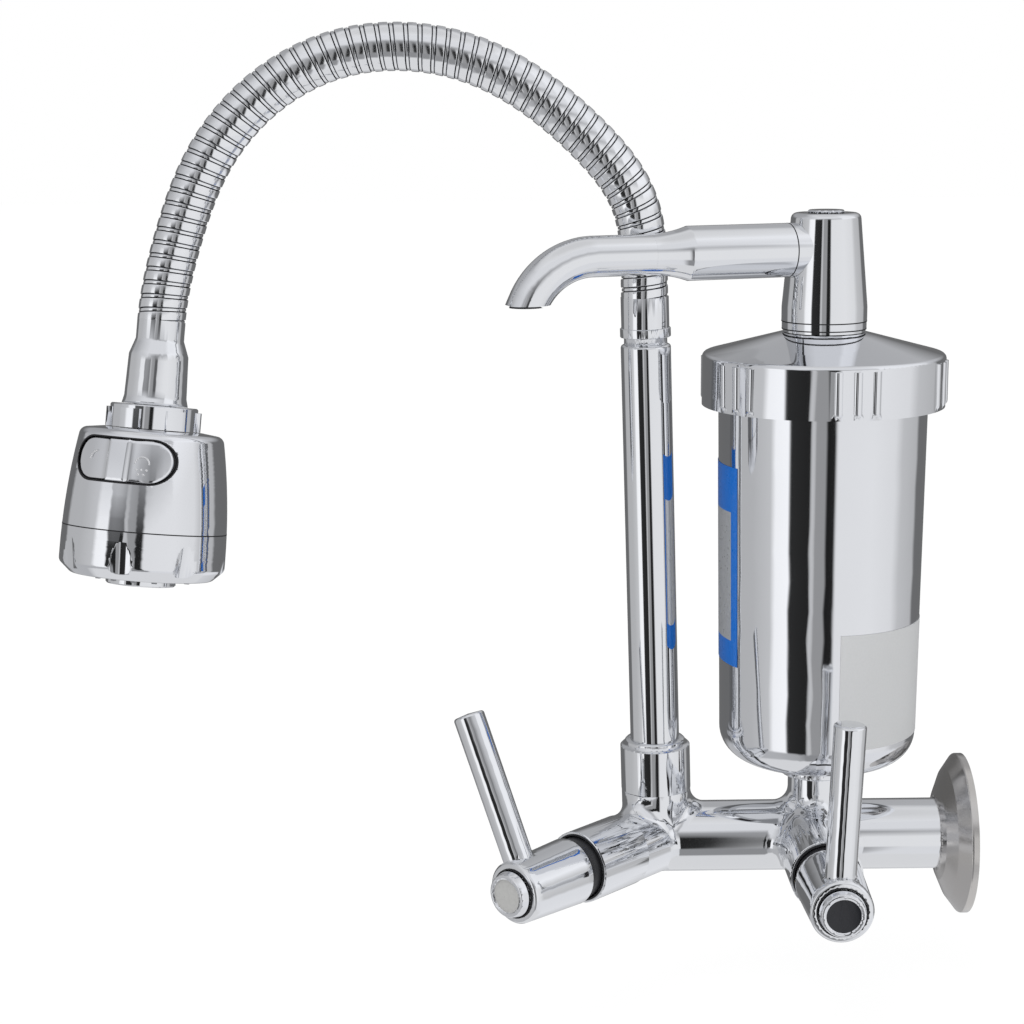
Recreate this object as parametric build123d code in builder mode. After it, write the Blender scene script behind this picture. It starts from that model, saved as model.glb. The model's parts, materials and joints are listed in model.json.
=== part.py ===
# Wall-mounted drinking water tap: a filter cup with its own swivel spout, and a gooseneck hose
# with a two-mode spray head, both fed by one supply pipe with two quarter-turn lever valves.
# Millimetres. The origin is on the supply pipe's axis at the wall, +Y into the wall, +Z up.
import math
import os

from build123d import *

os.makedirs("parts", exist_ok=True)

# Clearances shared by every piece
overrun = 1.0  # how far a cutting shape passes the face it opens
fit_gap = 0.05  # between pieces screwed or pressed together
run_gap = 0.05  # radial, shaft in a bearing
free_gap = 0.3  # between pieces that pass each other
seam_gap = 0.15  # a visible joint line
broken_edge = 0.9  # roundings up to this size are plain chamfers
chamfer_share = 0.6  # of the rounding that a chamfer stands for

# Supply pipe, cast in one with its branches
pipe_r = 13.25
pipe_bore_r = 9.0
thread_r = 10.48
thread_length = 12.0
thread_past_wall = 4.0
inlet_bore_r = 8.0
filter_wall_gap = 12.4  # wall to the filter cap's edge
stem_r = 10.3
stem_height = 25.0
stem_bore_r = 7.95
stem_bore_depth = 14.0
branch_fillet = 6.0

# Riser socket and its collar nut
riser_lean = 1.56  # degrees, away from the wall
riser_side_lean = 0.3  # degrees, towards the levers
socket_r = 12.9
socket_height = 19.5
socket_bore_r = 8.7
socket_floor = 9.0
feed_r = 5.0
neck_top = 28.0
neck_r = 10.9
nut_r = 13.0
nut_top = 38.8
nut_step_r = 11.2
nut_step = 2.0
nut_web = 7.8
nut_rounding = 0.8

# Riser tube and hose ferrule
riser_r = 9.1
riser_top = 187.4
riser_bore_r = 6.2
riser_rounding = 1.2
swivel_flange_r = 10.5
swivel_flange = 2.4
plug_start = 11.0
ring_section_r = 0.7
ring_pitch = 5.0
ferrule_r = 8.7
ferrule_top = 204.5
ferrule_neck_r = 7.85
ferrule_neck = 2.6
bead_r = 9.2
bead_height = 3.4
ferrule_plug = 10.0
bead_rounding = 0.45

# Gooseneck hose
rib_pitch = 4.709
ribs_per_span = 15
span_count = 4
hose_turn = 172.9  # degrees turned between the straight ends
hose_turn_shares = (0.246, 0.104, 0.16, 0.19, 0.138, 0.162)
hose_side_turn = 8.2  # degrees, the head end swings towards the levers
side_turn_start_share = 0.6
rib_r = 8.45
groove_r = 7.7
groove_width = 1.66
rib_edge = 0.25
hose_bore_r = 6.6
sleeve_r = 5.9
sleeve_tip_r = 5.5
sleeve_bore_r = 4.7
sleeve_reach = 3.6
sleeve_root = 5.0

# Lever valves: stations run outwards along each valve's axis from the pipe's axis
filter_valve_shift = 2.1  # from the filter's axis, away from the wall
hose_valve_angle = 43.0  # degrees from +X away from the wall
filter_lever_lean = -2.3  # degrees from upright, positive about the valve's axis
hose_lever_lean = 26.0
boss_r = 12.9
boss_end = 21.0
valve_bore_r = 9.0
valve_floor = 12.0
bonnet_r = 13.2
bonnet_end = 46.0
bonnet_spigot = 7.0
bonnet_bore_r = 6.9
bonnet_recess = 13.0
bonnet_rim_r = 11.7
bonnet_rounding = 0.7
guide_flange = 2.6
guide_r = 6.0
guide_end = 47.0
chamber_r = 5.7
chamber_depth = 10.0
washer_height = 1.8
washer_bore_r = 2.6
disc_height = 2.4
disc_r = 5.4
port_r = 1.3
port_circle_r = 3.0
disc_gap = 0.05
spindle_r = 3.05
spindle_foot = 2.8
spindle_end = 62.0
gland_r = 11.2
gland_end = 50.5
gland_lip_r = 9.3
gland_lip = 1.8
hub_start = 51.0
hub_end = 81.0
hub_back_r = 12.25
hub_front_r = 11.2
hub_skirt = 2.2
hub_bevel = 1.1
hub_chamfer = 0.6
hub_web = 4.0
lever_station = 73.0
lever_tip = 65.2
lever_root = 6.8
lever_root_r = 5.5
lever_tip_r = 5.7
lever_dome = 0.5
lever_rounding = 1.1
screw_head_r = 3.6
screw_head = 2.5
screw_r = 2.0
screw_length = 8.0
index_r = 8.6
index_face_r = 7.6
index_height = 3.7
index_stem_r = 4.15
index_stem = 8.0
index_ring = 1.5
index_recess = 0.5
index_rounding = 0.5

# Filter cup
cup_base = 28.2
cup_base_r = 14.0
cup_cone_r = 24.5
cup_cone_rise = 2.6
cup_corner_r = 12.0
cup_taper = 1.9  # from mouth to foot, on the radius
cup_mouth_r = 38.1
cup_top = 179.0
cup_wall = 2.5
cup_spigot_bore_r = 4.5
bush_r = 13.5
bush_rounding = 0.8

# Filter cartridge and the cup's seal
block_r = 28.0
block_bore_r = 9.0
block_base = 45.0
block_headroom = 29.0  # below the cup's mouth
end_cap_r = 29.2
end_cap_lip = 5.0
end_cap_floor = 2.5
foot_r = 12.0
spout_pipe_r = 4.6
spout_pipe_bore_r = 3.0
spout_pipe_fall = 5.3  # below the cap's apex
seal_width = 2.2
seal_height = 2.0

# Filter cap
cap_lip = 5.9  # the cap's edge outside the cup's mouth
cap_riser_gap = 6.55  # the cap's edge to the riser
cap_skirt = 18.7
cap_rim_rise = 4.4  # above the cup's mouth
cap_rim_rounding = 1.8
cap_apex_r = 14.6
cap_cone_rise = 7.9
cap_roof = 2.6
cap_thread_gap = 0.35
grip_r = 1.9
grip_height = 0.76
grip_lift = 0.6
grip_group = 3
grip_pitch = 9.0  # degrees
grip_groups = 6
grip_start = 7.5  # degrees from +X towards the wall
cap_bore_r = 9.1

# Filter spout and its swivel
nipple_flange_r = 14.9
nipple_flange = 1.1
nipple_r = 7.9
nipple_rise = 34.7  # above the cap's apex
nipple_bore_r = 4.9
nipple_thread_r = 9.05
nipple_fall = 8.9  # below the cap's apex
swivel_ring_r = 15.25
swivel_ring_height = 2.7
swivel_r = 15.4
swivel_straight = 5.0
swivel_rise = 42.7  # above the cap's apex
swivel_top_r = 12.4
swivel_rounding = 2.2
swivel_cap_r = 6.5
swivel_cap_height = 1.0
swivel_cap_rounding = 0.6
swivel_cap_stem_r = 5.0
swivel_cap_stem = 4.0
swivel_roof = 7.0
spout_rise = 29.7  # above the cap's apex
spout_angle = 18.0  # degrees from straight out towards the levers
spout_stub_end = 15.0
spout_sleeve_r = 9.65
spout_sleeve_end = 54.0
spout_waist_end = 66.0
spout_r = 7.2
spout_bore_r = 5.6
spout_bend_start = 89.6
spout_bend_r = 26.0
spout_bend = 65.0  # degrees
spout_drop = 4.0
outlet_fall = 16.0  # below the spout's axis
outlet_lip_r = 4.6
outlet_lip = 0.8

# Wall flange
flange_r = 30.0
flange_rim = 2.5
flange_depth = 10.8
flange_collar = 1.8
flange_wall = 1.2
flange_shoulder_r = 24.5
flange_shoulder = 6.6
flange_crown_r = 17.5
flange_crown = 9.6
flange_rounding = 1.0
flange_seal_width = 5.0
flange_seal_depth = 3.0
strainer_depth = 1.4
strainer_hole_r = 0.8
strainer_pitch = 2.9

# Spray head: stations run down the head's axis from the end of the hose
connector_top_r = 8.5
connector_collar = 6.6
connector_flare_r = 10.5
connector_flare = 12.2
connector_r = 11.0
connector_skirt = 27.0
connector_end_r = 11.7
connector_end = 29.9
connector_neck_r = 7.5
connector_neck_end = 35.0
connector_lip_r = 9.0
connector_lip = 2.0
connector_bore_r = 4.7
collar_start = 30.1
collar_r = 15.5
collar_end = 38.4
collar_roof = 4.6
collar_rounding = 0.8
pad_r = 16.8
pad_width = 7.6
pad_start = 31.6
pad_count = 6
pad_angle = 23.0  # degrees from the levers' side away from the wall
shell_top = 38.6
shell_shoulder_r = 25.2
shell_shoulder = 39.6
shell_corner_r = 17.5
shell_shoulder_rounding = 3.0
shell_r = 29.3
shell_belly = 84.0
shell_wall = 2.4
shell_seam = 74.2
shell_end = 91.3
shell_bottom_r = 25.0
shell_bottom_rounding = 4.0
button_angle = 16.0  # degrees from the levers' side away from the wall
button_station = 49.7
button_length = 36.5
button_width = 14.5
button_gap = 0.5
button_tilt = 4.0  # degrees, the rocker stands tipped either way
button_back = 17.0
button_proud = 0.4
button_pivot = 19.2
button_dish_r = 16.0
button_dish_depth = 1.2
button_dish_offset = 10.2
button_dish_place = 26.3
pin_r = 1.2
pin_seat = 1.2
core_r = 9.3
core_bore_r = 4.7
core_flange = 60.0
core_flange_height = 2.5
core_end = 88.3
face_start = 88.7
face_height = 2.4
nozzle_r = 0.95
nozzle_height = 1.1
nozzle_circle_r = 18.6
nozzle_count = 16
aerator_r = 12.4
aerator_end = 94.2
aerator_bore_r = 10.2
aerator_rounding = 0.8
screen_depth = 1.2
scallop_count = 8
scallop_angle = 7.0  # degrees
scallop_rise = 13.5
scallop_depth = 2.0
scallop_r = 9.0

# Heights and reaches that follow from the sizes above
cup_foot_r = cup_mouth_r - cup_taper
cap_r = cup_mouth_r + cap_lip
cap_rim = cup_top + cap_rim_rise
cap_skirt_base = cap_rim - cap_skirt
cap_apex = cap_rim + cap_cone_rise
block_top = cup_top - block_headroom
spout_pipe_top = cap_apex - spout_pipe_fall
nipple_top = cap_apex + nipple_rise
nipple_foot = cap_apex - nipple_fall
swivel_top = cap_apex + swivel_rise
spout_height = cap_apex + spout_rise
outlet_height = spout_height - outlet_fall
filter_offset = filter_wall_gap + cap_r  # wall to the filter's axis
filter_valve_offset = filter_offset + filter_valve_shift
pipe_reach = filter_offset + cap_r + cap_riser_gap + riser_r  # wall to the riser's axis

# Planes that carry the pieces: x across, z along each piece's axis
lean = math.radians(riser_lean)
side_lean = math.radians(riser_side_lean)
valve_turn = math.radians(hose_valve_angle)
spout_turn = math.radians(spout_angle)
pipe_line = Plane(origin=(0, 0, 0), x_dir=(1, 0, 0), z_dir=(0, -1, 0))
filter_line = Plane(origin=(0, -filter_offset, 0), x_dir=(1, 0, 0), z_dir=(0, 0, 1))
riser_line = Plane(
    origin=(0, -pipe_reach, 0),
    x_dir=(1, 0, 0),
    z_dir=(math.sin(side_lean), -math.sin(lean), math.cos(lean)),
)
spout_line = Plane(
    origin=(0, -filter_offset, spout_height),
    x_dir=(0, 0, 1),
    z_dir=(math.sin(spout_turn), -math.cos(spout_turn), 0),
)


def lever_plane(origin, axis, upright_lean):
    """The plane of a valve: z out along its axis, x along its lever."""
    turn = math.radians(upright_lean)
    across = Vector(0, 0, 1).cross(axis)
    lever = Vector(0, 0, 1) * math.cos(turn) - across * math.sin(turn)
    return Plane(origin=origin, x_dir=lever, z_dir=axis)


hose_valve_axis = Vector(math.cos(valve_turn), -math.sin(valve_turn), 0)
valve_lines = {
    "filter": lever_plane((0, -filter_valve_offset, 0), Vector(1, 0, 0), filter_lever_lean),
    "hose": lever_plane((0, -pipe_reach, 0), hose_valve_axis, hose_lever_lean),
}


def half_plane(line):
    """The plane through a line's axis, with x across the axis and y along it."""
    return Plane(origin=line.origin, x_dir=line.x_dir, z_dir=-line.y_dir)


def turned(line, *corners, mode=Mode.ADD):
    """Revolve corners of (radius, station), each with an optional rounding, about a line."""
    points = [corner[:2] for corner in corners]
    roundings = [corner[2] if len(corner) > 2 else 0 for corner in corners]
    rounds = [size if size > broken_edge else 0 for size in roundings]
    with BuildSketch(half_plane(line)) as outline:
        with BuildLine():
            FilletPolyline(*points, radius=rounds, close=True)
        make_face()
        for point, size in zip(points, roundings):
            if 0 < size <= broken_edge:
                chamfer(outline.vertices().sort_by_distance(point)[0], size * chamfer_share)
    revolve(outline.sketch, axis=Axis(line.origin, line.z_dir), mode=mode)


def bored(line, radius, start, end):
    """Cut a round hole along a line."""
    turned(line, (0, start), (radius, start), (radius, end), (0, end), mode=Mode.SUBTRACT)


def ring_seal(line, centre_r, station):
    """A rubber ring on a line, its round section pressed nearly square by its groove."""
    with BuildSketch(half_plane(line)) as section:
        with Locations((centre_r, station)):
            Rectangle(ring_section_r * 2, ring_section_r * 2)
        chamfer(section.vertices(), ring_section_r / 2)
    revolve(section.sketch, axis=Axis(line.origin, line.z_dir))


def save(piece, name):
    piece.part.label = name
    export_step(piece.part, f"parts/{name}.step")


# Casting: pipe, filter stem, riser socket and both valve bosses, blended where they meet
thread_start = -thread_past_wall
thread_end = thread_length - thread_past_wall
with BuildPart() as body_casting:
    turned(pipe_line, (0, thread_end), (pipe_r, thread_end), (pipe_r, pipe_reach), (0, pipe_reach))
    with Locations(riser_line.origin):
        Sphere(pipe_r)
    with BuildSketch(riser_line):
        Circle(socket_r)
    extrude(amount=socket_height)
    with BuildSketch(filter_line):
        Circle(stem_r)
    extrude(amount=stem_height)
    for valve_line in valve_lines.values():
        with BuildSketch(valve_line):
            Circle(boss_r)
        extrude(amount=boss_end)
    creases = [
        edge
        for edge in body_casting.edges()
        if edge.geom_type not in (GeomType.LINE, GeomType.CIRCLE)
        or (edge.center() - riser_line.origin).length < pipe_r
    ]
    fillet(creases, branch_fillet)
    turned(pipe_line, (0, thread_start), (thread_r, thread_start), (thread_r, thread_end), (0, thread_end))
    turned(riser_line, (0, socket_height), (neck_r, socket_height), (neck_r, neck_top), (0, neck_top))
    bored(pipe_line, inlet_bore_r, thread_start, thread_end + overrun)
    bored(pipe_line, pipe_bore_r, thread_end, pipe_reach)
    bored(filter_line, feed_r, 0, stem_height)
    bored(filter_line, stem_bore_r, stem_height - stem_bore_depth, stem_height)
    bored(riser_line, feed_r, 0, neck_top)
    bored(riser_line, socket_bore_r, socket_floor, neck_top)
    for valve_line in valve_lines.values():
        bored(valve_line, washer_bore_r, 0, boss_end)
        bored(valve_line, valve_bore_r, valve_floor, boss_end)
save(body_casting, "body_casting")

with BuildPart() as inlet_strainer:
    with BuildSketch(pipe_line.offset(thread_start)):
        Circle(inlet_bore_r - fit_gap)
        with HexLocations(strainer_pitch / math.sqrt(3), 3, 3):
            Circle(strainer_hole_r, mode=Mode.SUBTRACT)
    extrude(amount=strainer_depth)
save(inlet_strainer, "inlet_strainer")

# Wall flange: a thin dome that slides along the pipe and hides the wall opening
flange_bore_r = pipe_r + run_gap
with BuildPart() as wall_flange:
    turned(
        pipe_line,
        (flange_r, 0),
        (flange_r, flange_rim, flange_rounding),
        (flange_shoulder_r, flange_shoulder, flange_rounding),
        (flange_crown_r, flange_crown, flange_rounding),
        (flange_bore_r, flange_depth),
        (flange_bore_r, flange_depth - flange_collar),
        (flange_crown_r, flange_crown - flange_wall),
        (flange_shoulder_r, flange_shoulder - flange_wall),
        (flange_r - flange_wall, flange_rim - flange_wall),
        (flange_r - flange_wall, 0),
    )
save(wall_flange, "wall_flange")

seal_ring_r = flange_r - flange_wall - fit_gap
with BuildPart() as flange_seal:
    turned(
        pipe_line,
        (seal_ring_r - flange_seal_width, 0),
        (seal_ring_r, 0),
        (seal_ring_r, flange_rim - flange_wall - fit_gap),
        (seal_ring_r - flange_seal_width, flange_seal_depth),
    )
save(flange_seal, "flange_seal")

# Collar nut that holds the riser in its socket
swivel_flange_start = neck_top + free_gap
nut_shoulder = swivel_flange_start + swivel_flange + free_gap
nut_bore_r = neck_r + fit_gap
with BuildPart() as riser_nut:
    turned(
        riser_line,
        (nut_bore_r, socket_height + seam_gap),
        (nut_r, socket_height + seam_gap),
        (nut_r, nut_top - nut_step, nut_rounding),
        (nut_step_r, nut_top - nut_step),
        (nut_step_r, nut_top, nut_rounding),
        (riser_r + run_gap, nut_top),
        (riser_r + run_gap, nut_shoulder),
        (nut_bore_r, nut_shoulder),
    )
save(riser_nut, "riser_nut")

# Riser tube with the flange and plug that turn in the socket
plug_r = socket_bore_r - run_gap
ring_centre_r = plug_r - ring_section_r
groove_floor_r = ring_centre_r - ring_section_r - fit_gap
groove_half = ring_section_r + fit_gap
ring_stations = [plug_start + ring_pitch * (count + 1) - ring_section_r for count in range(2)]
with BuildPart() as riser_tube:
    turned(
        riser_line,
        (riser_bore_r, plug_start),
        (plug_r, plug_start),
        (plug_r, swivel_flange_start),
        (swivel_flange_r, swivel_flange_start),
        (swivel_flange_r, swivel_flange_start + swivel_flange),
        (riser_r, swivel_flange_start + swivel_flange),
        (riser_r, riser_top, riser_rounding),
        (riser_bore_r, riser_top),
    )
    for station in ring_stations:
        turned(
            riser_line,
            (groove_floor_r, station - groove_half),
            (plug_r + overrun, station - groove_half),
            (plug_r + overrun, station + groove_half),
            (groove_floor_r, station + groove_half),
            mode=Mode.SUBTRACT,
        )
save(riser_tube, "riser_tube")

with BuildPart() as riser_seals:
    for station in ring_stations:
        ring_seal(riser_line, ring_centre_r, station)
save(riser_seals, "riser_seals")

# Ferrule between the riser and the hose
bead_start = riser_top + ferrule_neck
bead_end = bead_start + bead_height
with BuildPart() as hose_ferrule:
    turned(
        riser_line,
        (sleeve_bore_r, riser_top - ferrule_plug),
        (riser_bore_r - fit_gap, riser_top - ferrule_plug),
        (riser_bore_r - fit_gap, riser_top),
        (ferrule_neck_r, riser_top),
        (ferrule_neck_r, bead_start),
        (bead_r, bead_start, bead_rounding),
        (bead_r, bead_end, bead_rounding),
        (ferrule_r, bead_end),
        (ferrule_r, ferrule_top),
        (sleeve_bore_r, ferrule_top),
    )
save(hose_ferrule, "hose_ferrule")


# Hose route: ribs set out one after another, straight at both ends and curved between them
rib_count = ribs_per_span * span_count
straight_ribs = rib_r * 2 / rib_pitch
curved_ribs = rib_count - straight_ribs * 2
side_turn_start = side_turn_start_share * rib_count
side_turn_ribs = rib_count - straight_ribs - side_turn_start


def hose_heading(ribs):
    """Angles that the hose has turned, in its own plane and sideways, after so many ribs."""
    sections = (ribs - straight_ribs) / curved_ribs * len(hose_turn_shares)
    turn_share = 0
    for section, share in enumerate(hose_turn_shares):
        turn_share += share * min(max(sections - section, 0), 1)
    side_share = min(max((ribs - side_turn_start) / side_turn_ribs, 0), 1)
    turn = lean + math.radians(hose_turn) * turn_share
    return turn, side_lean + math.radians(hose_side_turn) * side_share


def heading_vector(ribs):
    turn, side = hose_heading(ribs)
    return Vector(math.sin(side), -math.sin(turn) * math.cos(side), math.cos(turn) * math.cos(side))


def hose_point(ribs):
    """A point on the hose's axis, counted in ribs from the ferrule."""
    point = riser_line.origin + riser_line.z_dir * ferrule_top
    for rib in range(math.floor(ribs)):
        point += heading_vector(rib + 1 / 2) * rib_pitch
    whole = math.floor(ribs)
    return point + heading_vector((whole + ribs) / 2) * (ribs - whole) * rib_pitch


def hose_plane(ribs):
    """The plane square to the hose, with its x kept along the levers' side."""
    along = heading_vector(ribs)
    across = Vector(1, 0, 0) - along * along.X
    return Plane(origin=hose_point(ribs), x_dir=across, z_dir=along)


# Four spans of ribbed hose; each of the first three ends in a sleeve that the next one rocks on
groove_share = groove_width / rib_pitch / 2
floor_share = groove_share - rib_edge / rib_pitch
rib_shares = (
    (floor_share, groove_r),
    (groove_share, rib_r),
    (1 - groove_share, rib_r),
    (1 - floor_share, groove_r),
)
for span in range(span_count):
    first = span * ribs_per_span
    last = first + ribs_per_span
    start = first if span == 0 else first + floor_share
    end = last if span == span_count - 1 else last - floor_share
    with BuildPart() as hose_span:
        if span == 0:
            with BuildSketch(hose_plane(start)):
                Circle(groove_r)
        for rib in range(first, last):
            for place, radius in rib_shares:
                with BuildSketch(hose_plane(rib + place)):
                    Circle(radius)
        if span == span_count - 1:
            with BuildSketch(hose_plane(end)):
                Circle(groove_r)
        loft(ruled=True)
        with BuildSketch(hose_plane(start).offset(-overrun)):
            Circle(hose_bore_r)
        for rib in range(first + 1, last):
            with BuildSketch(hose_plane(rib)):
                Circle(hose_bore_r)
        with BuildSketch(hose_plane(end).offset(overrun)):
            Circle(hose_bore_r)
        loft(ruled=True, mode=Mode.SUBTRACT)
        if span < span_count - 1:
            turned(
                hose_plane(end),
                (sleeve_bore_r, -sleeve_root),
                (hose_bore_r + rib_edge, -sleeve_root),
                (hose_bore_r + rib_edge, 0),
                (sleeve_r, 0),
                (sleeve_tip_r, sleeve_reach),
                (sleeve_bore_r, sleeve_reach),
            )
    save(hose_span, f"hose_span_{span + 1}")

# Both lever valves hold the same pieces, named after what they feed
bonnet_shoulder = bonnet_end - bonnet_recess
bonnet_start = boss_end - bonnet_spigot
guide_start = bonnet_shoulder + guide_flange
fixed_disc_start = valve_floor + washer_height
moving_disc_start = fixed_disc_start + disc_height + disc_gap
foot_start = moving_disc_start + disc_height
chamber_end = valve_floor + chamber_depth
spindle_hole_r = spindle_r + run_gap
screw_seat = spindle_end + hub_web
screw_pocket_r = index_stem_r + fit_gap
for valve, valve_line in valve_lines.items():
    with BuildPart() as valve_bonnet:
        turned(
            valve_line,
            (bonnet_bore_r, bonnet_start),
            (valve_bore_r - fit_gap, bonnet_start),
            (valve_bore_r - fit_gap, boss_end + seam_gap),
            (bonnet_r, boss_end + seam_gap),
            (bonnet_r, bonnet_end, bonnet_rounding),
            (bonnet_rim_r, bonnet_end),
            (bonnet_rim_r, bonnet_shoulder),
            (bonnet_bore_r, bonnet_shoulder),
        )
    save(valve_bonnet, f"{valve}_valve_bonnet")

    with BuildPart() as valve_guide:
        turned(
            valve_line,
            (chamber_r, valve_floor),
            (bonnet_bore_r - fit_gap, valve_floor),
            (bonnet_bore_r - fit_gap, bonnet_shoulder),
            (bonnet_rim_r - fit_gap, bonnet_shoulder),
            (bonnet_rim_r - fit_gap, guide_start),
            (guide_r, guide_start),
            (guide_r, guide_end),
            (spindle_hole_r, guide_end),
            (spindle_hole_r, chamber_end),
            (chamber_r, chamber_end),
        )
    save(valve_guide, f"{valve}_valve_guide")

    with BuildPart() as seat_washer:
        turned(
            valve_line,
            (washer_bore_r, valve_floor),
            (chamber_r - fit_gap, valve_floor),
            (chamber_r - fit_gap, fixed_disc_start),
            (washer_bore_r, fixed_disc_start),
        )
    save(seat_washer, f"{valve}_valve_washer")

    with BuildPart() as fixed_disc:
        with BuildSketch(valve_line.offset(fixed_disc_start)):
            Circle(chamber_r - fit_gap)
            with PolarLocations(port_circle_r, 2):
                Circle(port_r, mode=Mode.SUBTRACT)
        extrude(amount=disc_height)
    save(fixed_disc, f"{valve}_valve_fixed_disc")

    with BuildPart() as gland:
        turned(
            valve_line,
            (guide_r + fit_gap, guide_start),
            (gland_r, guide_start),
            (gland_r, gland_end, bonnet_rounding),
            (gland_lip_r, gland_end),
            (gland_lip_r, gland_end + gland_lip),
            (guide_r + fit_gap, gland_end + gland_lip),
        )
    save(gland, f"{valve}_valve_gland")

    with BuildPart() as moving_disc:
        with BuildSketch(valve_line.offset(moving_disc_start)):
            Circle(disc_r)
            with PolarLocations(port_circle_r, 2, start_angle=90):
                Circle(port_r, mode=Mode.SUBTRACT)
        extrude(amount=disc_height)
    save(moving_disc, f"{valve}_valve_moving_disc")

    with BuildPart() as spindle:
        turned(
            valve_line,
            (0, foot_start),
            (disc_r, foot_start),
            (disc_r, foot_start + spindle_foot),
            (spindle_r, foot_start + spindle_foot),
            (spindle_r, spindle_end),
            (0, spindle_end),
        )
        bored(valve_line, screw_r + fit_gap, screw_seat - screw_length - fit_gap, spindle_end)
    save(spindle, f"{valve}_valve_spindle")

    lever_line = Plane(
        origin=valve_line.origin + valve_line.z_dir * lever_station,
        x_dir=valve_line.z_dir,
        z_dir=valve_line.x_dir,
    )
    with BuildPart() as lever_hub:
        turned(
            valve_line,
            (0, hub_start),
            (hub_back_r - hub_chamfer, hub_start),
            (hub_back_r, hub_start + hub_chamfer),
            (hub_front_r, hub_end - hub_bevel),
            (hub_front_r - hub_bevel, hub_end),
            (0, hub_end),
        )
        bored(valve_line, gland_lip_r + free_gap, hub_start, hub_start + hub_skirt)
        bored(valve_line, spindle_r + fit_gap, hub_start, spindle_end + fit_gap)
        bored(valve_line, screw_r + fit_gap, spindle_end, screw_seat)
        bored(valve_line, screw_pocket_r, screw_seat, hub_end)
        bored(lever_line, lever_root_r + fit_gap, lever_root, hub_back_r)
    save(lever_hub, f"{valve}_lever_hub")

    with BuildPart() as lever_rod:
        turned(
            lever_line,
            (0, lever_root),
            (lever_root_r, lever_root),
            (lever_root_r, hub_back_r),
            (lever_tip_r, lever_tip - lever_dome, lever_rounding),
            (0, lever_tip),
        )
    save(lever_rod, f"{valve}_lever_rod")

    with BuildPart() as lever_screw:
        turned(
            valve_line,
            (0, screw_seat - screw_length),
            (screw_r, screw_seat - screw_length),
            (screw_r, screw_seat),
            (screw_head_r, screw_seat),
            (screw_head_r, screw_seat + screw_head),
            (0, screw_seat + screw_head),
        )
    save(lever_screw, f"{valve}_lever_screw")

    index_front = hub_end + index_height
    with BuildPart() as index_cap:
        turned(
            valve_line,
            (0, hub_end - index_stem),
            (index_stem_r, hub_end - index_stem),
            (index_stem_r, hub_end),
            (index_r, hub_end),
            (index_face_r, index_front, index_rounding),
            (index_face_r - index_ring, index_front),
            (index_face_r - index_ring, index_front - index_recess),
            (0, index_front - index_recess),
        )
    save(index_cap, f"{valve}_lever_cap")

# Filter cup, screwed into the stem through a bush
with BuildPart() as cup_bush:
    turned(
        filter_line,
        (stem_bore_r + fit_gap, stem_height),
        (bush_r, stem_height, bush_rounding),
        (bush_r, cup_base, bush_rounding),
        (stem_bore_r + fit_gap, cup_base),
    )
save(cup_bush, "cup_bush")

cup_cone_top = cup_base + cup_cone_rise
cup_floor = cup_base + cup_wall
spigot_base = stem_height - stem_bore_depth
inner_foot_r = cup_foot_r - cup_wall
with BuildPart() as filter_cup:
    turned(
        filter_line,
        (cup_spigot_bore_r, spigot_base),
        (stem_bore_r - fit_gap, spigot_base),
        (stem_bore_r - fit_gap, cup_base),
        (cup_base_r, cup_base),
        (cup_cone_r, cup_cone_top),
        (cup_foot_r, cup_cone_top + cup_cone_rise, cup_corner_r),
        (cup_mouth_r, cup_top),
        (cup_mouth_r - cup_wall, cup_top),
        (inner_foot_r, cup_cone_top + cup_cone_rise + cup_wall, cup_corner_r - cup_wall),
        (cup_cone_r - cup_wall, cup_cone_top + cup_wall),
        (cup_base_r - cup_wall, cup_floor),
        (cup_spigot_bore_r, cup_floor),
    )
save(filter_cup, "filter_cup")

with BuildPart() as cartridge_block:
    turned(
        filter_line,
        (block_bore_r, block_base),
        (block_r, block_base),
        (block_r, block_top),
        (block_bore_r, block_top),
    )
save(cartridge_block, "cartridge_block")

with BuildPart() as cartridge_base:
    turned(
        filter_line,
        (0, cup_floor),
        (foot_r - cup_wall, cup_floor),
        (foot_r - cup_wall, block_base - end_cap_floor),
        (end_cap_r, block_base - end_cap_floor),
        (end_cap_r, block_base + end_cap_lip),
        (block_r + fit_gap, block_base + end_cap_lip),
        (block_r + fit_gap, block_base),
        (0, block_base),
    )
    with BuildSketch(filter_line.offset(cup_floor)):
        with PolarLocations(foot_r - cup_wall, 4):
            Circle(cup_wall)
    extrude(amount=cup_wall + overrun, mode=Mode.SUBTRACT)
save(cartridge_base, "cartridge_base")

with BuildPart() as cartridge_top:
    turned(
        filter_line,
        (spout_pipe_bore_r, block_top),
        (block_r + fit_gap, block_top),
        (block_r + fit_gap, block_top - end_cap_lip),
        (end_cap_r, block_top - end_cap_lip),
        (end_cap_r, block_top + end_cap_floor),
        (spout_pipe_r, block_top + end_cap_floor),
        (spout_pipe_r, spout_pipe_top),
        (spout_pipe_bore_r, spout_pipe_top),
    )
save(cartridge_top, "cartridge_top")

with BuildPart() as cup_seal:
    turned(
        filter_line,
        (cup_mouth_r - seal_width, cup_top),
        (cup_mouth_r, cup_top),
        (cup_mouth_r, cup_top + seal_height),
        (cup_mouth_r - seal_width, cup_top + seal_height),
    )
save(cup_seal, "cup_seal")

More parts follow.
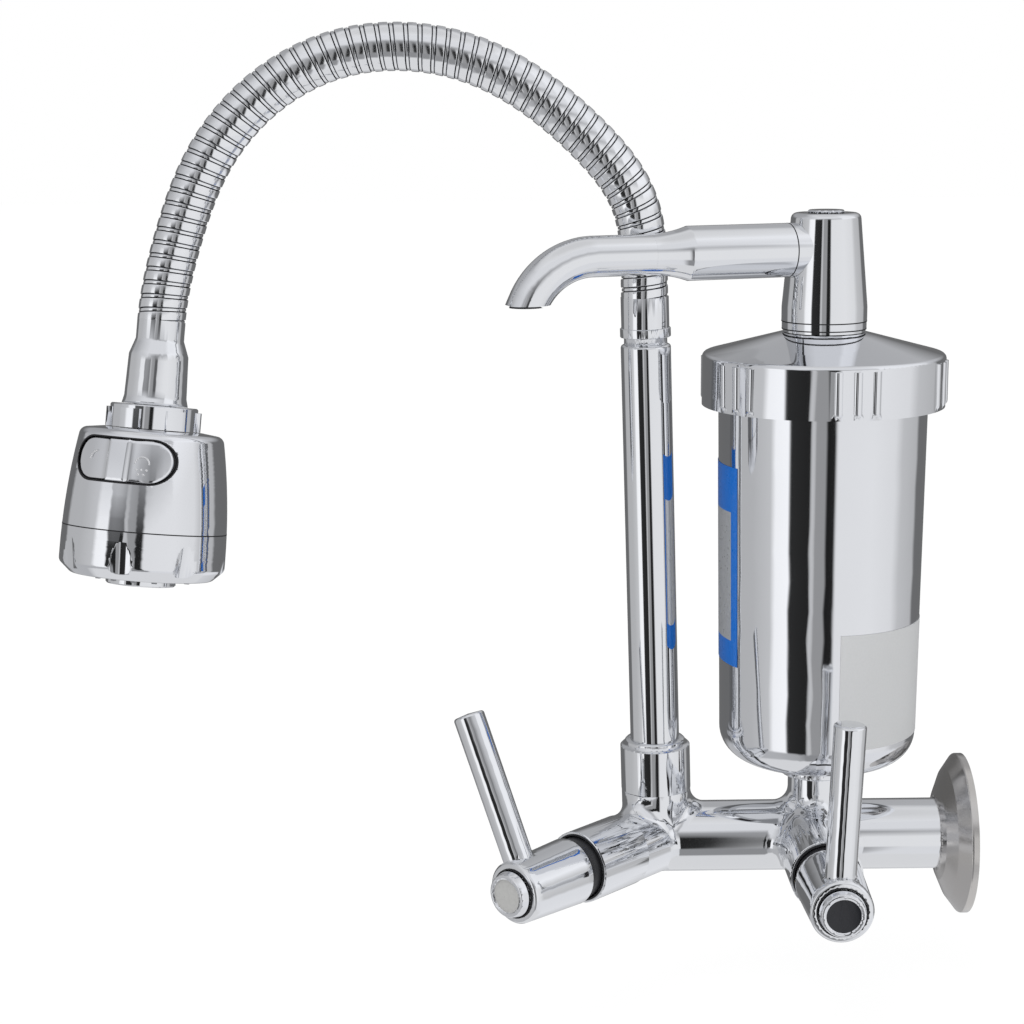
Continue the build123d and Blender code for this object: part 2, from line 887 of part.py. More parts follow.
# Filter cap: a shallow cone over a skirt, with groups of half-round grips
cap_ceiling = cup_top + seal_height + free_gap
cap_inner_r = cup_mouth_r + cap_thread_gap
cap_cone_base_r = cap_r - cap_rim_rounding
with BuildPart() as filter_cap:
    turned(
        filter_line,
        (cap_inner_r, cap_skirt_base),
        (cap_r, cap_skirt_base),
        (cap_r, cap_rim, cap_rim_rounding),
        (cap_apex_r, cap_apex),
        (cap_bore_r, cap_apex),
        (cap_bore_r, cap_apex - cap_roof - cap_roof),
        (cap_apex_r, cap_apex - cap_roof - cap_roof),
        (cap_inner_r, cap_ceiling),
    )
    grip_centre_r = cap_r + grip_height - grip_r
    for group in range(grip_groups):
        for grip in range(grip_group):
            turn = grip_start + group * 360 / grip_groups + (grip - (grip_group - 1) / 2) * grip_pitch
            place = math.radians(turn)
            spot = (
                grip_centre_r * math.cos(place),
                -filter_offset + grip_centre_r * math.sin(place),
                cap_skirt_base + grip_lift + grip_r,
            )
            with Locations(spot):
                Sphere(grip_r)
                Cylinder(
                    grip_r,
                    cap_rim - cap_rim_rounding - cap_skirt_base - grip_lift - grip_r,
                    align=(Align.CENTER, Align.CENTER, Align.MIN),
                )
save(filter_cap, "filter_cap")

# Nipple through the cap, and the washer ring that the swivel turns on
flange_base = cap_apex + fit_gap
ring_base = flange_base + nipple_flange
swivel_base = ring_base + swivel_ring_height + seam_gap
nipple_ring_centre_r = nipple_r - ring_section_r
nipple_groove_r = nipple_ring_centre_r - ring_section_r - fit_gap
nipple_rings = [nipple_top - ring_pitch * (count + 1) for count in range(2)]
swivel_bore_r = nipple_r + run_gap
with BuildPart() as cap_nipple:
    turned(
        filter_line,
        (nipple_bore_r, nipple_foot),
        (nipple_thread_r, nipple_foot),
        (nipple_thread_r, flange_base),
        (nipple_flange_r, flange_base),
        (nipple_flange_r, ring_base),
        (nipple_r, ring_base),
        (nipple_r, nipple_top),
        (nipple_bore_r, nipple_top),
    )
    for station in nipple_rings:
        turned(
            filter_line,
            (nipple_groove_r, station - groove_half),
            (nipple_r + overrun, station - groove_half),
            (nipple_r + overrun, station + groove_half),
            (nipple_groove_r, station + groove_half),
            mode=Mode.SUBTRACT,
        )
save(cap_nipple, "cap_nipple")

with BuildPart() as swivel_seals:
    for station in nipple_rings:
        ring_seal(filter_line, nipple_ring_centre_r, station)
save(swivel_seals, "swivel_seals")

with BuildPart() as swivel_ring:
    turned(
        filter_line,
        (nipple_r + fit_gap, ring_base),
        (swivel_ring_r, ring_base, seam_gap),
        (swivel_ring_r, ring_base + swivel_ring_height, seam_gap),
        (nipple_r + fit_gap, ring_base + swivel_ring_height),
    )
save(swivel_ring, "swivel_ring")

# Swivel body with the stub that carries the spout
with BuildPart() as swivel_body:
    turned(
        filter_line,
        (0, swivel_base),
        (swivel_r, swivel_base),
        (swivel_r, swivel_base + swivel_straight),
        (swivel_top_r, swivel_top, swivel_rounding),
        (0, swivel_top),
    )
    turned(
        spout_line,
        (0, 0),
        (spout_sleeve_r, 0),
        (spout_sleeve_r, spout_stub_end),
        (0, spout_stub_end),
    )
    bored(filter_line, swivel_bore_r, swivel_base, swivel_top - swivel_roof)
    bored(spout_line, spout_bore_r, 0, spout_stub_end)
    bored(filter_line, swivel_cap_stem_r + fit_gap, swivel_top - swivel_cap_stem, swivel_top)
save(swivel_body, "swivel_body")

with BuildPart() as swivel_cap:
    turned(
        filter_line,
        (0, swivel_top - swivel_cap_stem + fit_gap),
        (swivel_cap_stem_r, swivel_top - swivel_cap_stem + fit_gap),
        (swivel_cap_stem_r, swivel_top),
        (swivel_cap_r, swivel_top),
        (swivel_cap_r, swivel_top + swivel_cap_height, swivel_cap_rounding),
        (0, swivel_top + swivel_cap_height),
    )
save(swivel_cap, "swivel_cap")

# Thick sleeve that narrows in a hollow curve to the thin spout
sleeve_mid = (spout_sleeve_end + spout_waist_end) / 2
with BuildPart() as spout_sleeve:
    with BuildSketch(half_plane(spout_line)) as sleeve_outline:
        with BuildLine():
            Polyline(
                (spout_sleeve_r, spout_sleeve_end),
                (spout_sleeve_r, spout_stub_end + seam_gap),
                (spout_r + fit_gap, spout_stub_end + seam_gap),
                (spout_r + fit_gap, spout_waist_end),
                (spout_r + free_gap, spout_waist_end),
            )
            ThreePointArc(
                (spout_r + free_gap, spout_waist_end),
                (spout_r + (spout_sleeve_r - spout_r) / 4, sleeve_mid),
                (spout_sleeve_r, spout_sleeve_end),
            )
        make_face()
    revolve(sleeve_outline.sketch, axis=Axis(spout_line.origin, spout_line.z_dir))
save(spout_sleeve, "spout_sleeve")

# Thin spout, bent down and cut level at its outlet
bend = math.radians(spout_bend)
bend_forward = spout_bend_start + spout_bend_r * math.sin(bend)
bend_drop = spout_bend_r * (1 - math.cos(bend))
tip_forward = bend_forward + spout_drop * math.cos(bend)
tip_drop = bend_drop + spout_drop * math.sin(bend)
spout_side = half_plane(spout_line)
with BuildPart() as filter_spout:
    with BuildLine(spout_side) as spout_route:
        Line((0, spout_stub_end + seam_gap), (0, spout_bend_start))
        ThreePointArc(
            (0, spout_bend_start),
            (
                -spout_bend_r * (1 - math.cos(bend / 2)),
                spout_bend_start + spout_bend_r * math.sin(bend / 2),
            ),
            (-bend_drop, bend_forward),
        )
        Line((-bend_drop, bend_forward), (-tip_drop, tip_forward))
    with BuildSketch(spout_line.offset(spout_stub_end + seam_gap)):
        Circle(spout_r)
        Circle(spout_bore_r, mode=Mode.SUBTRACT)
    sweep(path=spout_route.wire())
    split(bisect_by=Plane.XY.offset(outlet_height), keep=Keep.TOP)
save(filter_spout, "filter_spout")

# Short liner whose rim shows below the outlet
bend_end = spout_line.origin + spout_line.z_dir * bend_forward + spout_line.x_dir * -bend_drop
outlet_way = spout_line.z_dir * math.cos(bend) - spout_line.x_dir * math.sin(bend)
with BuildPart() as spout_liner:
    with BuildSketch(Plane(origin=bend_end, x_dir=spout_line.y_dir, z_dir=outlet_way)):
        Circle(spout_bore_r - fit_gap)
        Circle(outlet_lip_r, mode=Mode.SUBTRACT)
    extrude(amount=spout_r * 2)
    split(bisect_by=Plane.XY.offset(outlet_height - outlet_lip), keep=Keep.TOP)
save(spout_liner, "spout_liner")

# Spray head: everything hangs on the hose's last plane
head_line = hose_plane(rib_count)
with BuildPart() as hose_connector:
    turned(
        head_line,
        (connector_bore_r, 0),
        (connector_top_r, 0),
        (connector_top_r, connector_collar),
        (connector_flare_r, connector_flare),
        (connector_r, connector_skirt),
        (connector_end_r, connector_end),
        (connector_neck_r, connector_end),
        (connector_neck_r, connector_neck_end),
        (connector_lip_r, connector_neck_end),
        (connector_lip_r, connector_neck_end + connector_lip),
        (connector_bore_r, connector_neck_end + connector_lip),
    )
save(hose_connector, "hose_connector")

lip_pocket_r = connector_lip_r + free_gap
with BuildPart() as head_collar:
    turned(
        head_line,
        (connector_neck_r + free_gap, collar_start),
        (collar_r, collar_start, collar_rounding),
        (collar_r, collar_end),
        (lip_pocket_r, collar_end),
        (lip_pocket_r, collar_start + collar_roof),
        (connector_neck_r + free_gap, collar_start + collar_roof),
    )
    with BuildSketch(head_line.offset(pad_start)):
        with PolarLocations(collar_r, pad_count, start_angle=pad_angle):
            Rectangle(pad_r - collar_r + pad_r - collar_r, pad_width)
        Circle(pad_r, mode=Mode.INTERSECT)
    extrude(amount=collar_end - pad_start)
save(head_collar, "head_collar")


def barrel(line, inset, start, end, *lower):
    """Sketch the head's swelling side between two stations, closed on a line."""
    swell_r = (shell_belly - shell_shoulder) ** 2 / (shell_r - shell_shoulder_r) / 2

    def side(station):
        fall = max(shell_belly - station, 0)
        return shell_r - inset - fall**2 / swell_r / 2

    with BuildSketch(half_plane(line)) as outline:
        with BuildLine():
            first = (side(start), start)
            final = (side(end), end)
            middle = (start + end) / 2
            ThreePointArc(first, (side(middle), middle), final)
            Polyline(final, *lower, (0, lower[-1][1] if lower else end), (0, start), first)
        make_face()
    return outline.sketch


head_axis = Axis(head_line.origin, head_line.z_dir)
shell_end_station = shell_seam - seam_gap
button_turn = math.radians(button_angle)
button_out = head_line.x_dir * math.cos(button_turn) + head_line.y_dir * math.sin(button_turn)
button_place = head_line.origin + head_line.z_dir * button_station
window_plane = Plane(origin=button_place, x_dir=head_line.z_dir.cross(button_out), z_dir=button_out)
tilt = math.radians(button_tilt)
pivot_place = button_place + button_out * button_pivot
rocker_out = button_out * math.cos(tilt) + window_plane.x_dir * math.sin(tilt)
rocker_line = Plane(
    origin=head_line.origin + (button_out - rocker_out) * button_pivot,
    x_dir=rocker_out,
    z_dir=head_line.z_dir,
)
rocker_place = rocker_line.origin + head_line.z_dir * button_station
rocker_plane = Plane(origin=rocker_place, x_dir=head_line.z_dir.cross(rocker_out), z_dir=rocker_out)
pin_line = Plane(
    origin=head_line.origin + button_out * button_pivot,
    x_dir=button_out,
    z_dir=head_line.z_dir,
)

# Head shell: shoulder, swelling side, and the window that the rocker fills
with BuildPart() as head_shell:
    turned(
        head_line,
        (0, shell_top),
        (shell_corner_r, shell_top),
        (shell_shoulder_r, shell_shoulder),
        (0, shell_shoulder),
    )
    revolve(barrel(head_line, 0, shell_shoulder, shell_end_station), axis=head_axis)
    shoulder_edges = (
        head_shell.edges()
        .filter_by(GeomType.CIRCLE)
        .filter_by(lambda edge: abs(edge.radius - shell_shoulder_r) < seam_gap)
    )
    fillet(shoulder_edges, shell_shoulder_rounding)
    turned(
        head_line,
        (0, shell_top + shell_wall),
        (shell_corner_r - shell_wall / 2, shell_top + shell_wall),
        (shell_shoulder_r - shell_wall, shell_shoulder + shell_wall),
        (0, shell_shoulder + shell_wall),
        mode=Mode.SUBTRACT,
    )
    inside = barrel(head_line, shell_wall, shell_shoulder + shell_wall, shell_seam)
    revolve(inside, axis=head_axis, mode=Mode.SUBTRACT)
    bored(head_line, core_r + fit_gap, shell_top, shell_top + shell_wall)
    with BuildSketch(window_plane):
        SlotOverall(button_length + button_gap * 2, button_width + button_gap * 2)
    extrude(amount=shell_r, mode=Mode.SUBTRACT)
    bored(pin_line, pin_r + fit_gap, shell_top + shell_wall - pin_seat, shell_shoulder + shell_wall)
save(head_shell, "head_shell")

core_start = connector_neck_end + connector_lip + free_gap
with BuildPart() as head_core:
    turned(
        head_line,
        (core_bore_r, core_start),
        (lip_pocket_r - fit_gap, core_start),
        (lip_pocket_r - fit_gap, shell_top),
        (core_r, shell_top),
        (core_r, core_flange),
        (shell_shoulder_r - shell_wall, core_flange),
        (shell_shoulder_r - shell_wall, core_flange + core_flange_height),
        (core_r, core_flange + core_flange_height),
        (core_r, core_end),
        (core_bore_r, core_end),
    )
    bored(pin_line, pin_r + fit_gap, core_flange, core_flange + pin_seat)
save(head_core, "head_core")

with BuildPart() as button_pin:
    turned(
        pin_line,
        (0, shell_top + shell_wall - pin_seat + fit_gap),
        (pin_r, shell_top + shell_wall - pin_seat + fit_gap),
        (pin_r, core_flange + pin_seat - fit_gap),
        (0, core_flange + pin_seat - fit_gap),
    )
save(button_pin, "button_pin")

# Rocker: an oval slice of the head's own curve, one end dished, tipped about its pin
with BuildPart() as mode_button:
    with BuildSketch(rocker_plane.offset(button_back)):
        SlotOverall(button_length, button_width)
    extrude(amount=shell_r - button_back)
    skin = barrel(rocker_line, -button_proud, shell_top, shell_seam)
    revolve(skin, axis=Axis(rocker_line.origin, rocker_line.z_dir), mode=Mode.INTERSECT)
    dish_height = button_dish_place + button_dish_r - button_dish_depth
    with BuildSketch(rocker_plane.offset(dish_height)) as dish_half:
        with Locations((-button_dish_offset, 0)):
            Circle(button_dish_r)
            Rectangle(
                button_dish_r * 2, button_dish_r, align=(Align.CENTER, Align.MIN), mode=Mode.SUBTRACT
            )
    dish_axis = Axis(
        rocker_place + rocker_out * dish_height - rocker_plane.x_dir * button_dish_offset,
        rocker_plane.x_dir,
    )
    revolve(dish_half.sketch, axis=dish_axis, mode=Mode.SUBTRACT)
    bored(pin_line, pin_r + run_gap, 0, shell_seam)
save(mode_button, "mode_button")

# Lower ring with pointed scallops for the fingers
with BuildPart() as lower_ring:
    bottom = (shell_bottom_r, shell_end)
    edge_start = (shell_r, shell_end - shell_bottom_rounding)
    revolve(barrel(head_line, 0, shell_seam, shell_belly, edge_start, bottom), axis=head_axis)
    ring_edges = (
        lower_ring.edges()
        .filter_by(GeomType.CIRCLE)
        .filter_by(lambda edge: edge.radius > shell_bottom_r - seam_gap)
        .sort_by(head_axis)[-2:]
    )
    fillet(ring_edges, shell_wall)
    inside = barrel(head_line, shell_wall, shell_seam, shell_belly)
    revolve(inside, axis=head_axis, mode=Mode.SUBTRACT)
    bored(head_line, shell_bottom_r - shell_wall, shell_belly, shell_end)
    scallop_tilt = math.atan2(scallop_depth, scallop_rise)
    for count in range(scallop_count):
        turn = math.radians(scallop_angle + count * 360 / scallop_count)
        out = head_line.x_dir * math.cos(turn) + head_line.y_dir * math.sin(turn)
        along = head_line.z_dir * math.cos(scallop_tilt) - out * math.sin(scallop_tilt)
        root = head_line.origin + head_line.z_dir * (shell_end - scallop_rise) + out * (shell_r + scallop_r)
        with BuildSketch(Plane(origin=root, x_dir=head_line.z_dir.cross(out), z_dir=along)):
            Circle(scallop_r)
        extrude(amount=scallop_rise + shell_wall, mode=Mode.SUBTRACT)
save(lower_ring, "lower_ring")

with BuildPart() as spray_face:
    with BuildSketch(head_line.offset(face_start)):
        Circle(shell_bottom_r - shell_wall - fit_gap)
        Circle(aerator_r + fit_gap, mode=Mode.SUBTRACT)
    extrude(amount=face_height)
    with BuildSketch(head_line.offset(face_start + face_height)):
        with PolarLocations(nozzle_circle_r, nozzle_count):
            Circle(nozzle_r)
    extrude(amount=nozzle_height)
save(spray_face, "spray_face")

with BuildPart() as aerator:
    turned(
        head_line,
        (aerator_bore_r, core_end + fit_gap),
        (aerator_r, core_end + fit_gap),
        (aerator_r, aerator_end, aerator_rounding),
        (aerator_bore_r, aerator_end),
    )
save(aerator, "aerator")

with BuildPart() as aerator_screen:
    turned(
        head_line,
        (0, core_end + fit_gap),
        (aerator_bore_r - fit_gap, core_end + fit_gap),
        (aerator_bore_r - fit_gap, aerator_end - screen_depth),
        (0, aerator_end - screen_depth),
    )
save(aerator_screen, "aerator_screen")
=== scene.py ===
import json
import math

import bpy
from mathutils import Matrix, Vector


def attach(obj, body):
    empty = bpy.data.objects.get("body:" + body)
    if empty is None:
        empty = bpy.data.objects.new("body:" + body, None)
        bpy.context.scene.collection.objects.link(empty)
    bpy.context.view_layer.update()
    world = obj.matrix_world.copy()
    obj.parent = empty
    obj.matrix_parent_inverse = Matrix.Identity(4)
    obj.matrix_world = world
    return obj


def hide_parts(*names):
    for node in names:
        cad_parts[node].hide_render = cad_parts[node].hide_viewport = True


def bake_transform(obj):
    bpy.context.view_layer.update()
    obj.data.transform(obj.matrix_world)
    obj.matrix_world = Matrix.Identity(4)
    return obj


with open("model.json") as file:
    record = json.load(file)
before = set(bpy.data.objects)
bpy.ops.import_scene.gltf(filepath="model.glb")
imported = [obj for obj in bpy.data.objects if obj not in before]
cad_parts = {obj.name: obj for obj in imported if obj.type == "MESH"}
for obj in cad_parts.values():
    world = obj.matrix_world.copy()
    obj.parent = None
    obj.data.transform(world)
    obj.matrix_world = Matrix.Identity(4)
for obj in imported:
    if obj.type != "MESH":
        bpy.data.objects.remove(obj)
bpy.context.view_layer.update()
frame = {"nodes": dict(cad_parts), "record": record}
mm = 0.001
cadWeld, weld = 0.000004, 0.000002  # metres: vertices nearer than this are merged
bpy.context.scene.view_settings.view_transform = "Standard"
print("frame loaded")


# camera, fitted to the photograph

camera = {
    "place": (788.63, -177.08, 278.14),
    "heading": 0.508,  # degrees, towards the wall
    "down": 10.953,
    "roll": -0.453,
    "lens": 76.72, "sensor": 36, "near": 0.01,
}


def addCamera():
    turn, down, roll = (math.radians(camera[k]) for k in ("heading", "down", "roll"))
    ahead = Vector((-math.cos(turn) * math.cos(down), math.sin(turn) * math.cos(down), -math.sin(down)))
    right = Vector((math.sin(turn), math.cos(turn), 0))
    up = right.cross(ahead)
    rightRolled = right * math.cos(roll) + up * math.sin(roll)
    upRolled = up * math.cos(roll) - right * math.sin(roll)
    bpy.ops.object.camera_add(location=[v * mm for v in camera["place"]])
    cam = bpy.context.object
    cam.rotation_euler = Matrix((rightRolled, upRolled, -ahead)).transposed().to_euler()
    cam.data.lens = camera["lens"]
    cam.data.sensor_width = camera["sensor"]
    cam.data.clip_start = camera["near"]
    bpy.context.scene.camera = cam


addCamera()


# shader maths: a socket that takes + - *, comparisons and abs

class Val:
    def __init__(self, nodes, socket):
        self.nodes, self.socket = nodes, socket

    def maths(self, operation, first, second=None):
        pins = {0: first} if second is None else {0: first, 1: second}
        return self.nodes.node("ShaderNodeMath", {"operation": operation}, pins)

    def __add__(self, other):
        return self.maths("ADD", self, other)

    def __sub__(self, other):
        return self.maths("SUBTRACT", self, other)

    def __mul__(self, other):
        return self.maths("MULTIPLY", self, other)

    def __radd__(self, other):
        return self.maths("ADD", other, self)

    def __rsub__(self, other):
        return self.maths("SUBTRACT", other, self)

    def __rmul__(self, other):
        return self.maths("MULTIPLY", other, self)

    def __gt__(self, other):
        return self.maths("GREATER_THAN", self, other)

    def __lt__(self, other):
        return self.maths("LESS_THAN", self, other)

    def __abs__(self):
        return self.maths("ABSOLUTE", self)


class Nodes:  # a node tree and the ways to add to it
    tint = (1, 1.005, 1.02)  # of a ramp's greys

    def __init__(self, tree):
        self.tree = tree

    def node(self, kind, settings=None, pins=None, out=0):
        made = self.tree.nodes.new(kind)
        for name, value in (settings or {}).items():
            if name == "stops":
                marks = made.color_ramp.elements
                while len(marks) < len(value):
                    marks.new(0.5)
                for mark, (place, level) in zip(marks, value):
                    mark.position = place
                    mark.color = [level * share for share in self.tint] + [1]
            else:
                setattr(made, name, value)
        for pin, value in (pins or {}).items():
            if isinstance(value, Val):
                self.tree.links.new(value.socket, made.inputs[pin])
            else:
                made.inputs[pin].default_value = value
        if made.outputs:
            return Val(self, made.outputs[out])

    def split(self, vector):
        parts = self.node("ShaderNodeSeparateXYZ", pins={0: vector})
        return [Val(self, socket) for socket in parts.socket.node.outputs]

    def angle(self, y, x):
        return self.node("ShaderNodeMath", {"operation": "ARCTAN2"}, {0: y, 1: x})

    def ramp(self, value, stops):
        return self.node("ShaderNodeValToRGB", {"stops": stops}, {0: value})

    def mixed(self, factor, first, second, blend="MIX"):
        settings = {"data_type": "RGBA", "blend_type": blend}
        return self.node("ShaderNodeMix", settings, {0: factor, 6: first, 7: second}, out=2)


class Finish(Nodes):  # one material
    def __init__(self, name, **fixed):
        self.material = bpy.data.materials.new(name)
        self.material.use_nodes = True
        super().__init__(self.material.node_tree)
        self.shader = self.tree.nodes["Principled BSDF"]
        for socket, value in fixed.items():
            self.shader.inputs[socket.replace("_", " ")].default_value = value

    def feed(self, socket, value):
        self.tree.links.new(value.socket, self.shader.inputs[socket])

    def place(self):
        return self.node("ShaderNodeTexCoord", out="Object")

    def noise(self, spot, scale, detail):
        return self.node("ShaderNodeTexNoise", pins={"Vector": spot, "Scale": scale, "Detail": detail})

    def spread(self, value, low, high):
        return self.node("ShaderNodeMapRange", pins={0: value, 3: low, 4: high})

    def dents(self, height, strength, distance):
        pins = {"Strength": strength, "Distance": distance, "Height": height}
        self.feed("Normal", self.node("ShaderNodeBump", pins=pins))


# scales of the noise, how much darker it makes the colour, and depths in metres
chromeGrain = {"cloud": 35, "smear": 220, "shade": 0.97, "waveDepth": 0.0004}
mouldedGrain = {"speck": 900, "shade": 0.82, "smoother": 0.06, "rougher": 0.08, "depth": 0.0001}


def chromeFinish(name, colour, rough, wave=0.0, waveScale=40, haze=0.03):
    f = Finish(name, Metallic=1.0)
    spot = f.place()
    shaded = [c * chromeGrain["shade"] for c in colour[:3]] + [1]
    f.feed("Base Color", f.mixed(f.noise(spot, chromeGrain["cloud"], 3), shaded, colour))
    f.feed("Roughness", f.spread(f.noise(spot, chromeGrain["smear"], 4), rough, rough + haze))
    if wave:
        f.dents(f.noise(spot, waveScale, 1), wave, chromeGrain["waveDepth"])
    return f.material


def mouldedFinish(name, colour, rough, grain=0.15):
    f = Finish(name)
    speck = f.noise(f.place(), mouldedGrain["speck"], 3)
    shaded = [c * mouldedGrain["shade"] for c in colour[:3]] + [1]
    f.feed("Base Color", f.mixed(speck, shaded, colour))
    f.feed("Roughness", f.spread(speck, rough - mouldedGrain["smoother"], rough + mouldedGrain["rougher"]))
    f.dents(speck, grain, mouldedGrain["depth"])
    return f.material


finishes = {
    "plated_metal": chromeFinish("chromePlate", (0.83, 0.84, 0.86, 1), 0.03, 0.05),
    "plated_plastic": chromeFinish("chromeMoulding", (0.82, 0.83, 0.855, 1), 0.035, 0.06, 25),
    "bare_steel": chromeFinish("plainSteel", (0.62, 0.62, 0.63, 1), 0.22, haze=0.1),
    "hose_steel": chromeFinish("hoseSteel", (0.87, 0.88, 0.9, 1), 0.08, haze=0.06),
    "hose_groove_shade": chromeFinish("hoseGrooveShade", (0.20, 0.21, 0.23, 1), 0.25, haze=0.1),
    "flange_steel": chromeFinish("satinSteel", (0.64, 0.62, 0.60, 1), 0.15, haze=0.1),
    "brass_part": chromeFinish("turnedBrass", (0.72, 0.52, 0.24, 1), 0.2, haze=0.1),
    "black_plastic": mouldedFinish("blackMoulding", (0.02, 0.02, 0.023, 1), 0.38),
    "white_plastic": mouldedFinish("whiteMoulding", (0.82, 0.82, 0.8, 1), 0.42),
    "grey_plastic": mouldedFinish("greyMoulding", (0.32, 0.33, 0.35, 1), 0.5),
    "black_rubber": mouldedFinish("sealRubber", (0.025, 0.025, 0.025, 1), 0.62, 0.3),
    "carbon": mouldedFinish("carbonBlock", (0.05, 0.05, 0.05, 1), 0.8, 0.6),
    "disc_ceramic": mouldedFinish("ceramicDisc", (0.85, 0.85, 0.83, 1), 0.16, 0.02),
    "frosted_mark": chromeFinish("frostedMark", (0.92, 0.92, 0.93, 1), 0.42, haze=0.1),
    "seam_shade": mouldedFinish("seamShade", (0.012, 0.012, 0.014, 1), 0.7, 0.05),
    "dark_disc": mouldedFinish("darkDisc", (0.012, 0.013, 0.018, 1), 0.1, 0.01),
    "pale_disc": mouldedFinish("paleDisc", (0.56, 0.56, 0.55, 1), 0.3, 0.05),
}
print("finishes made")


# picking, drawing and smoothing

def nothingSelected():
    if bpy.context.object and bpy.context.object.mode != "OBJECT":
        bpy.ops.object.mode_set(mode="OBJECT")
    bpy.ops.object.select_all(action="DESELECT")
    bpy.context.tool_settings.mesh_select_mode = (True, False, False)


def active(piece):
    nothingSelected()
    piece.select_set(True)
    bpy.context.view_layer.objects.active = piece


def smoothed(piece, angle=30):
    active(piece)
    bpy.ops.object.shade_smooth_by_angle(angle=math.radians(angle))
    bpy.ops.object.modifier_add(type="WEIGHTED_NORMAL")
    piece.modifiers[-1].keep_sharp = True
    piece.modifiers[-1].weight = 80
    bpy.ops.object.modifier_apply(modifier=piece.modifiers[-1].name)


def drawnLine(name, spots):  # edges from spot to spot, left in edit mode
    nothingSelected()
    bpy.ops.mesh.primitive_plane_add(size=mm, location=(0, 0, 0))
    piece = bpy.context.object
    piece.name = name
    bpy.ops.object.mode_set(mode="EDIT")
    bpy.ops.mesh.merge(type="CENTER")
    bpy.ops.transform.translate(value=spots[0])
    for before, spot in zip(spots, spots[1:]):
        bpy.ops.mesh.extrude_vertices_move(TRANSFORM_OT_translate={"value": spot - before})
    return piece


def facedOut(merged=True):  # all faces turned outwards, back in object mode
    bpy.ops.mesh.select_all(action="SELECT")
    if merged:
        bpy.ops.mesh.remove_doubles(threshold=weld)
    bpy.ops.mesh.normals_make_consistent(inside=False)
    bpy.ops.object.mode_set(mode="OBJECT")


# dressed copies of the CAD pieces: merged, so that their faces shade smoothly

slotOf = {part["node"]: part["material_slot"] for part in frame["record"]["subparts"]}
bodyOf = {
    node: body
    for body, nodes in frame["record"]["behaviour"]["bodies"].items()
    for node in nodes
}


def dressed(node):
    mesh = frame["nodes"][node].data.copy()
    copy = bpy.data.objects.new(f"{node}_dressed", mesh)
    bpy.context.collection.objects.link(copy)
    active(copy)
    bpy.ops.object.mode_set(mode="EDIT")
    bpy.ops.mesh.select_all(action="SELECT")
    bpy.ops.mesh.remove_doubles(threshold=cadWeld)
    bpy.ops.object.mode_set(mode="OBJECT")
    smoothed(copy)
    mesh.materials.clear()
    mesh.materials.append(finishes[slotOf[node]])
    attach(copy, bodyOf[node])
    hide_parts(node)
    return copy


def painted(piece, finish, chosen):
    piece.data.materials.append(finishes[finish])
    for face in piece.data.polygons:
        if chosen(face.center / mm, face.normal):
            face.material_index = len(piece.data.materials) - 1


hoseNodes = [f"hose_span_{k}" for k in (1, 2, 3, 4)]
remade = hoseNodes + ["spout_sleeve", "mode_button"]
pieces = {node: dressed(node) for node in slotOf if node not in remade}
pieces["wall_flange"].data.materials[0] = finishes["flange_steel"]
pieces["swivel_ring"].data.materials[0] = finishes["plated_plastic"]

# the levers' axes, and the discs set into their ends
valves = {
    "filter": {"root": (0, -58.5, 0), "way": (1, 0, 0), "disc": "dark_disc"},
    "hose": {"root": (0, -116.05, 0), "way": (0.731354, -0.681998, 0), "disc": "pale_disc"},
}
lever = {"discR": 6.05, "facing": 0.9, "seamR": 8.9, "seam": 81.15}
for name, valve in valves.items():
    root, way = Vector(valve["root"]), Vector(valve["way"])

    def onDisc(spot, normal):
        out = spot - root
        near = (out - way * out.dot(way)).length < lever["discR"]
        return near and normal.dot(way) > lever["facing"]

    painted(pieces[f"{name}_lever_cap"], valve["disc"], onDisc)
print("pieces dressed")


# turned pieces: an outline of (radius, station) spun about an axis

head = {
    "root": (11.8268, -294.433, 198.212),  # where the hose ends
    "way": (0.147809, -0.09548, -0.984396),
    "shoulder": 39.6, "shoulderR": 25.2,
    "belly": 84.0, "bellyR": 29.3,
    "seam": 74.12,
}
spout = {
    "root": (0, -56.4, 221.0), "way": (0.309017, -0.951057, 0),
    "thick": 9.65, "thin": 7.2, "start": 15.15, "straight": 54.0, "waist": 68.0,
    "steps": 12, "proud": 0.02,
}
swivel = {
    "root": (0, -56.4, 0), "way": (0, 0, 1),
    "seams": ((15.25, 192.45), (15.4, 195.2)),
}
# the rings of painted shade: how far they stand out, sink in, and how wide they are
seam = {"proud": 0.03, "deep": 0.3, "width": 0.42}
turnSteps = 128


def turnedPiece(name, axis, outline, finish, body):
    root, way = Vector(axis["root"]) * mm, Vector(axis["way"]).normalized()
    across = way.orthogonal().normalized()
    spots = [root + across * r * mm + way * station * mm for r, station in outline]
    piece = drawnLine(name, spots + spots[:1])
    bpy.ops.mesh.select_all(action="SELECT")
    bpy.ops.mesh.remove_doubles(threshold=weld)
    bpy.ops.mesh.spin(steps=turnSteps, angle=math.tau, center=root, axis=way)
    facedOut()
    smoothed(piece)
    piece.data.materials.append(finishes[finish])
    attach(piece, body)
    return piece


def headRadius(station):
    swell = (head["belly"] - head["shoulder"]) ** 2 / (head["bellyR"] - head["shoulderR"])
    return head["bellyR"] - max(head["belly"] - station, 0) ** 2 / swell


def addSeamShade(name, axis, radius, station, body):  # painted shade: a dark ring laid in the gap where two pieces meet
    low, high = station - seam["width"] / 2, station + seam["width"] / 2
    inner, outer = radius - seam["deep"], radius + seam["proud"]
    outline = [(inner, low), (outer, low), (outer, high), (inner, high)]
    turnedPiece(name, axis, outline, "seam_shade", body)


